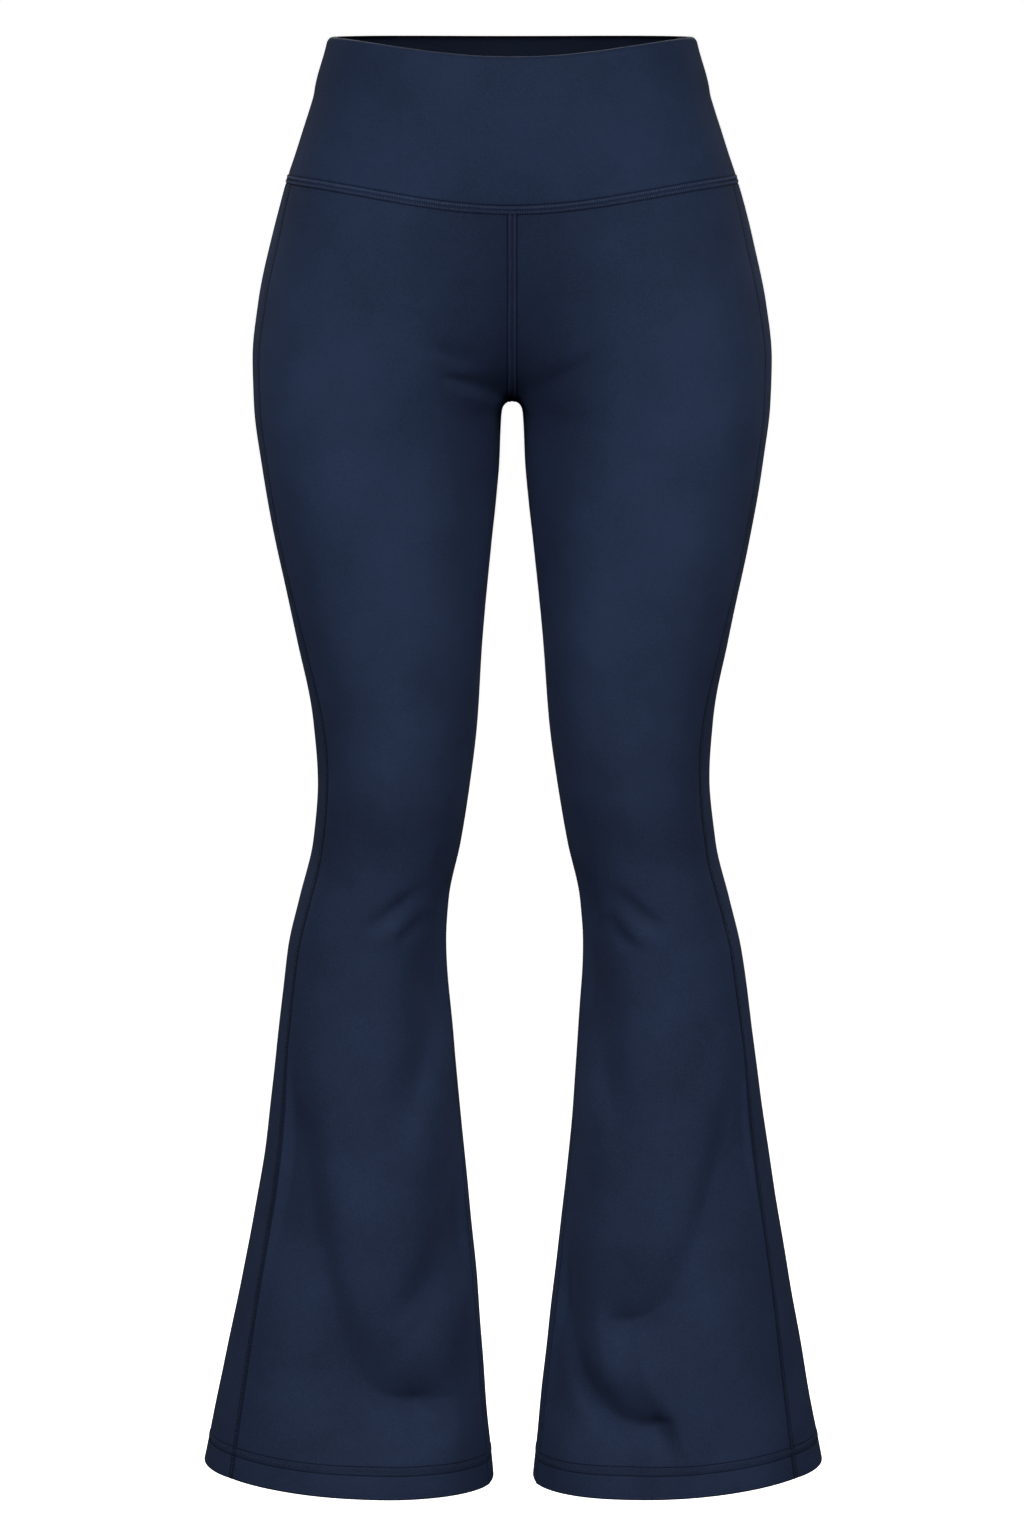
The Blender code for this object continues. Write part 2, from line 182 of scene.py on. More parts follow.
# Where the seams run, in front of (negative) or behind the middle of the garment
SEAMS = HeightTable("z side inseam", (
    (0.010, -0.017, 0.000), (0.000, -0.018, 0.000), (-0.100, -0.028, 0.000), (-0.152, -0.034, 0.000),
    (-0.268, -0.036, 0.001), (-0.365, -0.034, 0.000), (-0.444, -0.038, 0.000), (-0.510, -0.039, 0.000),
    (-0.557, -0.034, 0.000), (-0.610, -0.027, 0.000), (-0.675, -0.023, 0.000), (-0.736, -0.023, -0.002),
    (-0.797, -0.028, -0.005), (-0.921, -0.035, -0.011), (-1.015, -0.042, -0.013),
    (-1.089, -0.047, -0.015),
))

# The legs hang a little to the wearer's left
SWAY = HeightTable("z shift", (
    (0.000, 0.0000), (-0.268, 0.0001), (-0.434, 0.0005), (-0.564, 0.0014), (-0.695, 0.0021),
    (-0.787, 0.0032), (-0.849, 0.0035), (-0.932, 0.0027), (-1.026, 0.0012), (-1.089, 0.0008),
))


@dataclass(frozen=True)
class Fold:
    """A soft trough pressed into the cloth, or a ridge where its depth is negative.

    The route is a list of places (out, z): the distance out from the garment's middle plane, and the
    height. Seen along the route, the trough has one width on its left and another on its right. A
    hooked fold deepens along its route and runs out in a point, and its narrower wall grows sharp
    there, where the cloth above hangs over the cloth below.
    """

    left_width: float
    right_width: float
    depth: float
    route: tuple[tuple[float, float], ...]
    hooked: bool = False

    # Points from one place of the route to the next
    STEPS = 24
    # The stretch at each end of the route over which a plain fold swells and fades, in shares of it
    FADE = (0.0, 0.40)
    # A hooked fold's stretches of the route: where it starts, deepens, ends, widens, narrows and sharpens
    STARTS, DEEPENS, ENDS = (0.0, 0.22), (0.4, 0.8), (0.0, 0.10)
    WIDENS, NARROWS, SHARPENS = (0.40, 0.75), (0.78, 1.0), (0.50, 0.88)
    # Its share of the depth at first and what is added, its width and the changes in it, and its sharpness
    SHALLOW, DEEPER = 0.55, 0.45
    WIDTH, WIDER, NARROWER = 0.90, 0.45, 0.85
    SHARPNESS = 0.9

    def curve(self) -> Array:
        """The route as a Catmull-Rom curve through its places.

        Returns:
            The points (out, z) along it.
        """
        ends = np.array(self.route)
        places = np.vstack([2 * ends[0] - ends[1], ends, 2 * ends[-1] - ends[-2]])
        points = [ends[0]]
        for a, b, c, d in zip(places, places[1:], places[2:], places[3:]):
            for t in np.linspace(0, 1, self.STEPS + 1)[1:]:
                bend = (2 * a - 5 * b + 4 * c - d) * t**2 + (3 * b - a - 3 * c + d) * t**3
                points.append(b + ((c - a) * t + bend) / 2)
        return np.array(points)

    def swell(self, along: Array) -> tuple[Array, Array]:
        """How deep and how wide the fold is along its route.

        Args:
            along: Shares of the route.

        Returns:
            The depth and the width, as shares of the fold's own.
        """
        if not self.hooked:
            return smooth_step(*self.FADE, along) * smooth_step(*self.FADE, 1 - along), np.ones_like(along)
        depth = self.SHALLOW + self.DEEPER * smooth_step(*self.DEEPENS, along)
        depth = smooth_step(*self.STARTS, along) * depth * smooth_step(*self.ENDS, 1 - along)
        width = self.WIDTH + self.WIDER * smooth_step(*self.WIDENS, along)
        return depth, width - self.NARROWER * smooth_step(*self.NARROWS, along)

    def push(self, place: Array) -> Array:
        """How far the fold presses the cloth in.

        Args:
            place: Points (out, z), in the last axis.

        Returns:
            The push at each point, in metres.
        """
        curve = self.curve()
        tangent = np.gradient(curve, axis=0)
        tangent /= np.linalg.norm(tangent, axis=1, keepdims=True)
        offset = place[..., None, :] - curve
        nearest = np.argmin((offset**2).sum(axis=-1), axis=-1)
        near = np.take_along_axis(offset, nearest[..., None, None], axis=-2)[..., 0, :]
        way = tangent[nearest]
        left = way[..., 0] * near[..., 1] - way[..., 1] * near[..., 0]
        beyond = (near * way).sum(axis=-1) * ((nearest == 0) | (nearest == len(curve) - 1))
        away = np.hypot(left, beyond)
        along = nearest / (len(curve) - 1)
        depth, width = self.swell(along)
        sharp = self.SHARPNESS * self.hooked * smooth_step(*self.SHARPENS, along)
        narrow = min(self.left_width, self.right_width)
        walls = []
        for side in (self.right_width, self.left_width):
            reach = width if side == narrow else np.maximum(width, 1.0)
            walls.append(np.exp(-((away / (reach * side)) ** (2 - sharp * (side == narrow)))))
        return self.depth * depth * np.where(left > 0, walls[1], walls[0])


def smooth_step(low: float, high: float, value: Array) -> Array:
    """0 below low, 1 above high, and an S between them."""
    t = np.clip((value - low) / (high - low), 0.0, 1.0)
    return t * t * (3 - 2 * t)


# On each front, long swags that hang from the knee and end in a hook come first, then short drags under
# the knee, the round of the knee above them, and the drags that fan out from the crotch. The hidden
# backs have the same swags, hung from the hollow of the knee.
FOLDS = {
    (Leg.RIGHT, Face.FRONT): (
        Fold(0.034, 0.022, 0.0180, (
            (0.170, -0.725), (0.168, -0.785), (0.164, -0.830), (0.157, -0.873), (0.148, -0.913),
            (0.136, -0.950), (0.122, -0.981), (0.101, -1.002), (0.073, -1.010),
            (0.038, -1.011)), hooked=True),
        Fold(0.019, 0.024, 0.0080, (
            (0.041, -0.770), (0.041, -0.845), (0.048, -0.893), (0.063, -0.925), (0.086, -0.946),
            (0.116, -0.955))),
        Fold(0.020, 0.012, 0.0065, (
            (0.062, -0.590), (0.057, -0.650), (0.057, -0.702), (0.066, -0.752), (0.082, -0.797),
            (0.104, -0.845))),
        Fold(0.016, 0.016, 0.0030, ((0.029, -0.930), (0.032, -0.985), (0.045, -1.026), (0.080, -1.052))),
        Fold(0.010, 0.006, 0.0030, ((0.118, -0.656), (0.096, -0.641), (0.080, -0.629), (0.058, -0.613))),
        Fold(0.008, 0.006, 0.0020, ((0.090, -0.663), (0.076, -0.652), (0.058, -0.638))),
        Fold(0.008, 0.008, -0.0016, ((0.112, -0.664), (0.090, -0.650), (0.072, -0.638))),
        Fold(0.018, 0.018, -0.0028, ((0.090, -0.470), (0.090, -0.534), (0.092, -0.600))),
        Fold(0.005, 0.010, 0.0052, ((0.066, -0.209), (0.050, -0.220), (0.034, -0.227), (0.012, -0.231))),
        Fold(0.004, 0.009, 0.0060, ((0.056, -0.235), (0.040, -0.241), (0.024, -0.247), (0.004, -0.256))),
    ),
    (Leg.LEFT, Face.FRONT): (
        Fold(0.015, 0.024, 0.0142, (
            (0.027, -0.820), (0.027, -0.890), (0.031, -0.937), (0.039, -0.977), (0.052, -1.006),
            (0.072, -1.023), (0.097, -1.027), (0.124, -1.020)), hooked=True),
        Fold(0.030, 0.015, 0.0105, (
            (0.169, -0.730), (0.161, -0.796), (0.151, -0.836), (0.140, -0.874), (0.129, -0.904),
            (0.113, -0.930), (0.090, -0.944), (0.060, -0.949)), hooked=True),
        Fold(0.020, 0.012, 0.0065, (
            (0.053, -0.590), (0.052, -0.655), (0.055, -0.706), (0.063, -0.755), (0.076, -0.802),
            (0.094, -0.855))),
        Fold(0.006, 0.010, -0.0030, ((0.030, -0.930), (0.033, -0.977), (0.042, -1.014), (0.062, -1.052))),
        Fold(0.006, 0.010, 0.0030, ((0.064, -0.614), (0.085, -0.631), (0.099, -0.642), (0.117, -0.654))),
        Fold(0.006, 0.008, 0.0020, ((0.067, -0.637), (0.078, -0.655), (0.095, -0.668))),
        Fold(0.008, 0.008, -0.0016, ((0.074, -0.641), (0.092, -0.652), (0.116, -0.662))),
        Fold(0.018, 0.018, -0.0028, ((0.085, -0.470), (0.085, -0.534), (0.086, -0.600))),
        Fold(0.011, 0.007, 0.0045, ((0.072, -0.214), (0.044, -0.232), (0.006, -0.256))),
    ),
    (Leg.RIGHT, Face.BACK): (
        Fold(0.019, 0.040, 0.0105, (
            (0.056, -0.725), (0.058, -0.818), (0.070, -0.895), (0.096, -0.955), (0.125, -0.978),
            (0.150, -0.984)), hooked=True),
        Fold(0.030, 0.016, 0.0070, (
            (0.164, -0.746), (0.154, -0.838), (0.130, -0.900), (0.098, -0.922)), hooked=True),
        Fold(0.007, 0.010, 0.0032, ((0.055, -0.554), (0.085, -0.569), (0.120, -0.560))),
        Fold(0.006, 0.008, 0.0026, ((0.062, -0.590), (0.090, -0.600), (0.112, -0.594))),
        Fold(0.009, 0.013, 0.0030, ((0.022, -0.262), (0.058, -0.280), (0.107, -0.276))),
        Fold(0.006, 0.009, 0.0022, ((0.012, -0.236), (0.040, -0.252), (0.070, -0.250))),
    ),
    (Leg.LEFT, Face.BACK): (
        Fold(0.040, 0.019, 0.0105, (
            (0.161, -0.731), (0.153, -0.823), (0.133, -0.906), (0.103, -0.963), (0.080, -0.980),
            (0.056, -0.988)), hooked=True),
        Fold(0.016, 0.030, 0.0070, (
            (0.058, -0.777), (0.064, -0.854), (0.088, -0.913), (0.120, -0.928)), hooked=True),
        Fold(0.007, 0.010, 0.0032, ((0.053, -0.566), (0.086, -0.580), (0.122, -0.568))),
        Fold(0.006, 0.008, 0.0026, ((0.066, -0.532), (0.090, -0.542), (0.116, -0.536))),
        Fold(0.013, 0.009, 0.0030, ((0.020, -0.270), (0.060, -0.287), (0.103, -0.285))),
        Fold(0.009, 0.006, 0.0022, ((0.012, -0.228), (0.036, -0.243), (0.072, -0.246))),
    ),
}


# ---- The worn form ----


class Section(NamedTuple):
    """The garment's section at one height, or at an array of heights."""

    outer: Array
    inner: Array
    centre: Array
    front: Array
    back: Array
    power: Array
    blend: Array

    @property
    def middle(self) -> Array:
        """A place inside the left half, from which its whole outline is seen."""
        return (self.outer + np.maximum(self.inner, 0.0)) / 2


class Chart(NamedTuple):
    """How a panel's width is shared out, level by level: the width, and the turn at even shares."""

    levels: Array
    widths: Array
    turns: Array


@dataclass
class WornForm:
    """The outer surface of the garment as it is worn, and where its seams and edges lie on it."""

    yoke_side: float = -0.1005
    hem_side: float = -1.0740
    hem_depth: float = 0.020
    waist_dip: dict[Face, float] = field(default_factory=lambda: {Face.FRONT: 0.0116, Face.BACK: 0.0019})
    yoke_dip: dict[Face, float] = field(default_factory=lambda: {Face.FRONT: 0.0167, Face.BACK: 0.0085})
    yoke_bow: float = 2.4
    hem_drop: float = 0.0155
    hem_bow: float = 1.3
    yoke_dip_ends: float = -0.2240
    hem_drop_starts: float = -0.5840
    reach: float = 0.30
    probe: float = 0.0001
    least_blend: float = 1e-9
    bisections: int = 34
    chart_near_crotch: tuple[float, ...] = (2e-5, 2e-4, 1e-3, 2.5e-3)
    chart_levels: int = 240
    chart_shares: int = 97
    crotch: float = field(init=False, default=0.0)
    charts: dict[Face, Chart] = field(init=False, default_factory=dict)

    def __post_init__(self) -> None:
        """Finds the crotch, and charts the front and the back."""
        self.crotch = self.find_crotch()
        self.charts = {face: self.make_chart(face) for face in Face}

    @staticmethod
    def section(z: Array) -> Section:
        """The section at heights z."""
        shape = (DEPTH.read(column, z) for column in ("centre", "front", "back", "power"))
        return Section(OUTLINE.read("outer", z), INSIDE.read("inner", z), *shape, BLEND.read("radius", z))

    @staticmethod
    def outside_leg(x: Array, y: Array, cut: Section) -> Array:
        """How far points lie outside the left leg's oval, about. It is negative inside.

        Args:
            x: Where the points are.
            y: Where the points are.
            cut: The section there.

        Returns:
            The distances.
        """
        half = (cut.outer - cut.inner) / 2
        across = np.abs((x - (cut.outer + cut.inner) / 2) / half)
        along = np.abs((y - cut.centre) / np.where(y < cut.centre, cut.front, cut.back))
        return ((across**cut.power + along**cut.power) ** (1 / cut.power) - 1) * half

    def outside(self, x: Array, y: Array, cut: Section) -> Array:
        """How far points lie outside both legs, run softly into one another.

        Args:
            x: Where the points are.
            y: Where the points are.
            cut: The section there.

        Returns:
            The distances, which are negative inside.
        """
        left, right = self.outside_leg(x, y, cut), self.outside_leg(-x, y, cut)
        soft = np.maximum(cut.blend, self.least_blend)
        overlap = np.maximum(soft - np.abs(left - right), 0.0) / soft
        return np.minimum(left, right) - overlap**2 * soft / 4

    def march(self, x: Array, y: Array, way_x: Array, way_y: Array, cut: Section) -> tuple[Array, Array]:
        """The surface of the left half, met from a place inside it.

        Args:
            x: Where to start, with y.
            y: Where to start.
            way_x: The direction to go in, with way_y.
            way_y: The direction to go in.
            cut: The section there.

        Returns:
            The X and Y of the surface.
        """
        shape = np.broadcast(x, y, way_x, way_y, cut.outer).shape
        near, far = np.zeros(shape), np.full(shape, self.reach)
        for _ in range(self.bisections):
            half_way = (near + far) / 2
            at_x, at_y = x + half_way * way_x, y + half_way * way_y
            out = (self.outside(at_x, at_y, cut) > 0) | (at_x < 0)
            near, far = np.where(out, near, half_way), np.where(out, half_way, far)
        return x + near * way_x, y + near * way_y

    def find_crotch(self) -> float:
        """The height at which the two legs part.

        Returns:
            The height.
        """
        low, high = self.hem_side / 2, self.yoke_side
        for _ in range(self.bisections):
            z = (low + high) / 2
            cut = self.section(np.array(z))
            if self.outside(np.array(0.0), cut.centre, cut) > 0:
                low = z
            else:
                high = z
        return (low + high) / 2

    def ends(self, z: Array, face: Face) -> tuple[Array, Array]:
        """The turns about the half's middle at which a panel starts and ends.

        Args:
            z: Heights.
            face: Front or back.

        Returns:
            The turn at the side seam, and the turn at the centre seam or the inseam.
        """
        cut = self.section(z)
        side_x, side_y = self.march(cut.middle, SEAMS.read("side", z), 1.0, 0.0, cut)
        start = np.arctan2(face.way * (side_y - cut.centre), side_x - cut.middle)
        inseam = self.march(cut.middle, SEAMS.read("inseam", z), -1.0, 0.0, cut)
        centre_seam = self.march(0.0, cut.centre, 0.0, face.way, cut)
        ends = (inseam, centre_seam)
        turns = [np.pi - np.arctan2(face.way * (y - cut.centre), cut.middle - x) for x, y in ends]
        return start, np.where(z < self.crotch, *turns)

    def make_chart(self, face: Face) -> Chart:
        """Charts the width of a panel from its side seam to its end, level by level.

        Args:
            face: Front or back.

        Returns:
            The chart.
        """
        near = np.array(self.chart_near_crotch)
        even = np.linspace(self.hem_side - self.hem_drop, 0.0, self.chart_levels)
        levels = np.unique(np.concatenate([even, self.crotch + near, self.crotch - near]))
        start, end = self.ends(levels, face)
        cut = Section(*(column[:, None] for column in self.section(levels)))
        share = np.linspace(0, 1, self.chart_shares)
        turn = start[:, None] + (end - start)[:, None] * share
        x, y = self.march(cut.middle, cut.centre, np.cos(turn), face.way * np.sin(turn), cut)
        length = np.cumsum(np.hypot(np.diff(x), np.diff(y)), axis=1)
        length = np.hstack([np.zeros((len(levels), 1)), length])
        turns = [np.interp(share * row[-1], row, share) for row in length]
        return Chart(levels, length[:, -1], np.array(turns))

    def yoke_drop(self, share: Array, face: Face) -> Array:
        """How far the yoke seam has fallen, a share of the way from the side seam to the centre."""
        return self.yoke_dip[face] * np.sin(np.pi * share / 2) ** self.yoke_bow

    def width(self, z: Array, face: Face) -> Array:
        """A panel's width round the form at heights z."""
        chart = self.charts[face]
        return np.interp(z, chart.levels, chart.widths)

    def surface(self, z: Array, share: Array, face: Face) -> Array:
        """Points of the left half's outer face.

        Args:
            z: Heights.
            share: How far each point is from the side seam to the panel's end, from 0 to 1.
            face: Front or back.

        Returns:
            The points, with X, Y and Z in the last axis.
        """
        chart = self.charts[face]
        level = np.clip(np.searchsorted(chart.levels, z) - 1, 0, len(chart.levels) - 2)
        up = np.clip((z - chart.levels[level]) / (chart.levels[level + 1] - chart.levels[level]), 0.0, 1.0)
        place = np.clip(share, 0.0, 1.0) * (self.chart_shares - 1)
        column = np.minimum(place.astype(int), self.chart_shares - 2)
        on = place - column
        below = chart.turns[level, column] * (1 - on) + chart.turns[level, column + 1] * on
        above = chart.turns[level + 1, column] * (1 - on) + chart.turns[level + 1, column + 1] * on
        start, end = self.ends(z, face)
        turn = start + (end - start) * (below * (1 - up) + above * up)
        cut = self.section(z)
        x, y = self.march(cut.middle, cut.centre, np.cos(turn), face.way * np.sin(turn), cut)
        return np.stack([x, y, z], axis=-1)

    def normals(self, points: Array) -> Array:
        """The unit normals of the surface.

        Args:
            points: Points on it.

        Returns:
            The directions out of the cloth there.
        """
        x, y, z = np.moveaxis(points, -1, 0)
        here, above, below = (self.section(z + step) for step in (0.0, self.probe, -self.probe))
        normal = np.stack([
            self.outside(x + self.probe, y, here) - self.outside(x - self.probe, y, here),
            self.outside(x, y + self.probe, here) - self.outside(x, y - self.probe, here),
            self.outside(x, y, above) - self.outside(x, y, below),
        ], axis=-1)
        return normal / np.linalg.norm(normal, axis=-1, keepdims=True)


# ---- Seams in the cloth, and the grids that the pieces are drawn on ----


@dataclass(frozen=True)
class Ribbon:
    """A flat seam: the cloth stands up in a ribbon, with a pressed-in line along each edge."""

    half_width: float
    lift: float
    groove: float
    tone: float

    # Where the cloth's points lie across half a ribbon, in half-widths from its middle
    STATIONS = (0.0, 0.30, 0.60, 0.85, 1.0, 1.1, 1.2, 1.32, 1.5, 1.9, 2.6, 3.8)
    # In half-widths too: the pressed line and its width, where the flat top ends, and where the tone fades
    EDGE, EDGE_WIDTH = 1.18, 0.14
    TOP = 0.8
    TONED = (1.0, 1.3)

    def relief(self, distance: Array) -> Array:
        """How far the cloth stands out at a distance from the seam."""
        across = np.abs(distance) / self.half_width
        return self.lift * (1 - smooth_step(self.TOP, self.EDGE, across)) - self.groove * self.edge(distance)

    def edge(self, distance: Array) -> Array:
        """1 in the pressed line beside the ribbon, and 0 away from it."""
        across = np.abs(distance) / self.half_width
        return np.exp(-(((across - self.EDGE) / self.EDGE_WIDTH) ** 2))

    def shade(self, distance: Array) -> Array:
        """Painted shade, in full in the pressed lines, and a darker seam tone a little between them."""
        across = np.abs(distance) / self.half_width
        return np.maximum(self.edge(distance), self.tone * (1 - smooth_step(*self.TONED, across)))


YOKE_RIBBON = Ribbon(0.0027, 0.00030, 0.00035, 0.20)
CENTRE_RIBBON = Ribbon(0.0029, 0.00028, 0.00035, 0.12)
SIDE_RIBBON = Ribbon(0.0018, 0.00012, 0.00045, 0.72)
HEM_RIBBON = Ribbon(0.0027, 0.00010, 0.00030, 0.18)


class ThreadRow(NamedTuple):
    """The line that a row of stitches follows, the ways out of the cloth there, and which way it leans."""

    points: Array
    up: Array
    way: int


@dataclass
class ClothGrid:
    """The points of a piece of cloth, row by row from its top and column by column across."""

    outer: Array
    inner: Array
    up: Array
    uv: Array
    # How much painted shade and darker seam tone is mixed into the cloth at each point
    groove: Array

    def row(self, where: Any, way: int = 1) -> ThreadRow:
        """The line on the outer face at a place in the grid, for a row of stitches."""
        return ThreadRow(self.outer[where], self.up[where], way)


def swayed(points: Array) -> Array:
    """The points with the legs' lean to one side."""
    shift = SWAY.read("shift", points[..., 2])
    return points + np.stack([shift, 0 * shift, 0 * shift], axis=-1)


def mirrored(points: Array) -> Array:
    """The same points, or directions, on the wearer's right."""
    return points * np.array([-1.0, 1.0, 1.0])


def unevenness(points: Array, size: float, amount: float) -> Array:
    """The soft lumps of cloth that isn't drawn quite tight.

    Args:
        points: Places on the cloth.
        size: The usual distance from one lump to the next, in metres.
        amount: How far the lumps stand out, in metres.

    Returns:
        How far the cloth stands out at each place.
    """
    waves = (
        (1.0, 0.2, 0.5), (0.3, 0.8, 1.1), (-0.8, 0.5, 0.9),
        (0.6, -0.9, 1.3), (-0.4, 1.2, -0.7), (1.3, 0.1, -0.4))
    phase = 1.7
    total = sum(
        np.sin(2 * np.pi / size * points @ np.array(wave) + phase * number)
        for number, wave in enumerate(waves))
    return amount * total / len(waves)


def add_object(name: str, data: bpy.types.ID) -> Piece:
    """Puts a mesh, a lamp or a camera in the scene.

    Args:
        name: The object's name.
        data: What it shows.

    Returns:
        The object.
    """
    added = bpy.data.objects.new(name, data)
    bpy.context.scene.collection.objects.link(added)
    return added


def closed_wall(name: str, grid: ClothGrid, ring: bool) -> Piece:
    """A closed thin shell of cloth between a grid's outer and inner faces, with one edge folded round.

    Args:
        name: The piece's name.
        grid: Its points.
        ring: True for a ring, which is folded at its top. Other pieces are folded at the bottom.

    Returns:
        The object.
    """
    def rim(row: int, other: int) -> Array:
        """The points round the folded edge, from the outer face to the inner one.

        Args:
            row: The grid's row at that edge.
            other: The row beside it.

        Returns:
            The rows of points between the two faces.
        """
        first, last = grid.outer[row], grid.inner[row]
        middle, half = (first + last) / 2, (first - last) / 2
        radius = np.linalg.norm(half, axis=-1, keepdims=True)
        step = first - grid.outer[other]
        outward = step / np.linalg.norm(step, axis=-1, keepdims=True)
        turns = np.linspace(0, np.pi, RIM_STEPS + 1)[1:-1]
        return np.array([middle + half * math.cos(t) + outward * radius * math.sin(t) for t in turns])

    count = len(grid.outer)
    bottom, top = (grid.outer[:0], rim(0, 1)[::-1]) if ring else (rim(-1, -2), grid.outer[:0])
    loop = np.concatenate([grid.outer, bottom, grid.inner[::-1], top])
    uv = np.concatenate([
        grid.uv, np.repeat(grid.uv[-1:], len(bottom), axis=0), grid.uv[::-1],
        np.repeat(grid.uv[:1], len(top), axis=0)])
    # Painted shade: the folded edges and the whole inner face are drawn darker than the outer face
    dark = np.concatenate([
        grid.groove, np.full(bottom.shape[:2], PAINTED_RIM_SHADE), np.full_like(grid.groove, PAINTED_INSIDE_SHADE),
        np.full(top.shape[:2], PAINTED_RIM_SHADE)])
    rows, columns = loop.shape[:2]
    kept = columns - 1 if ring else columns
    faces = [
        [(row, column), (row + 1, column), (row + 1, column + 1), (row, column + 1)]
        for row in range(rows) for column in range(columns - 1)]
    for column in () if ring else (0, columns - 1):
        for row in range(count - 1):
            across = rows - 1 - row
            faces.append([(row, column), (row + 1, column), (across - 1, column), (across, column)])
        faces.append([(row, column) for row in range(count - 1, count + len(bottom) + 1)])
    mesh = bpy.data.meshes.new(name)
    indices = [[(row % rows) * kept + column % kept for row, column in face] for face in faces]
    mesh.from_pydata(loop[:, :kept].reshape(-1, 3).tolist(), [], indices)
    layer = mesh.uv_layers.new(name=CLOTH_UV)
    places = np.array([uv[row % rows, column] for face in faces for row, column in face])
    layer.data.foreach_set("uv", places.astype(np.float32).ravel())
    attribute = mesh.attributes.new(SEAM_TONE_AND_PAINTED_SHADE, "FLOAT", "POINT")
    attribute.data.foreach_set("value", dark[:, :kept].astype(np.float32).ravel())
    mesh.validate()
    face_out(mesh)
    mesh.shade_smooth()
    return add_object(name, mesh)


def face_out(mesh: bpy.types.Mesh) -> None:
    """Turns a closed mesh so that its faces point outwards, on its own volume's sign.

    Args:
        mesh: The mesh.
    """
    shell = bmesh.new()
    shell.from_mesh(mesh)
    bmesh.ops.recalc_face_normals(shell, faces=shell.faces)
    if shell.calc_volume(signed=True) < 0:
        bmesh.ops.reverse_faces(shell, faces=shell.faces)
    shell.to_mesh(mesh)
    shell.free()


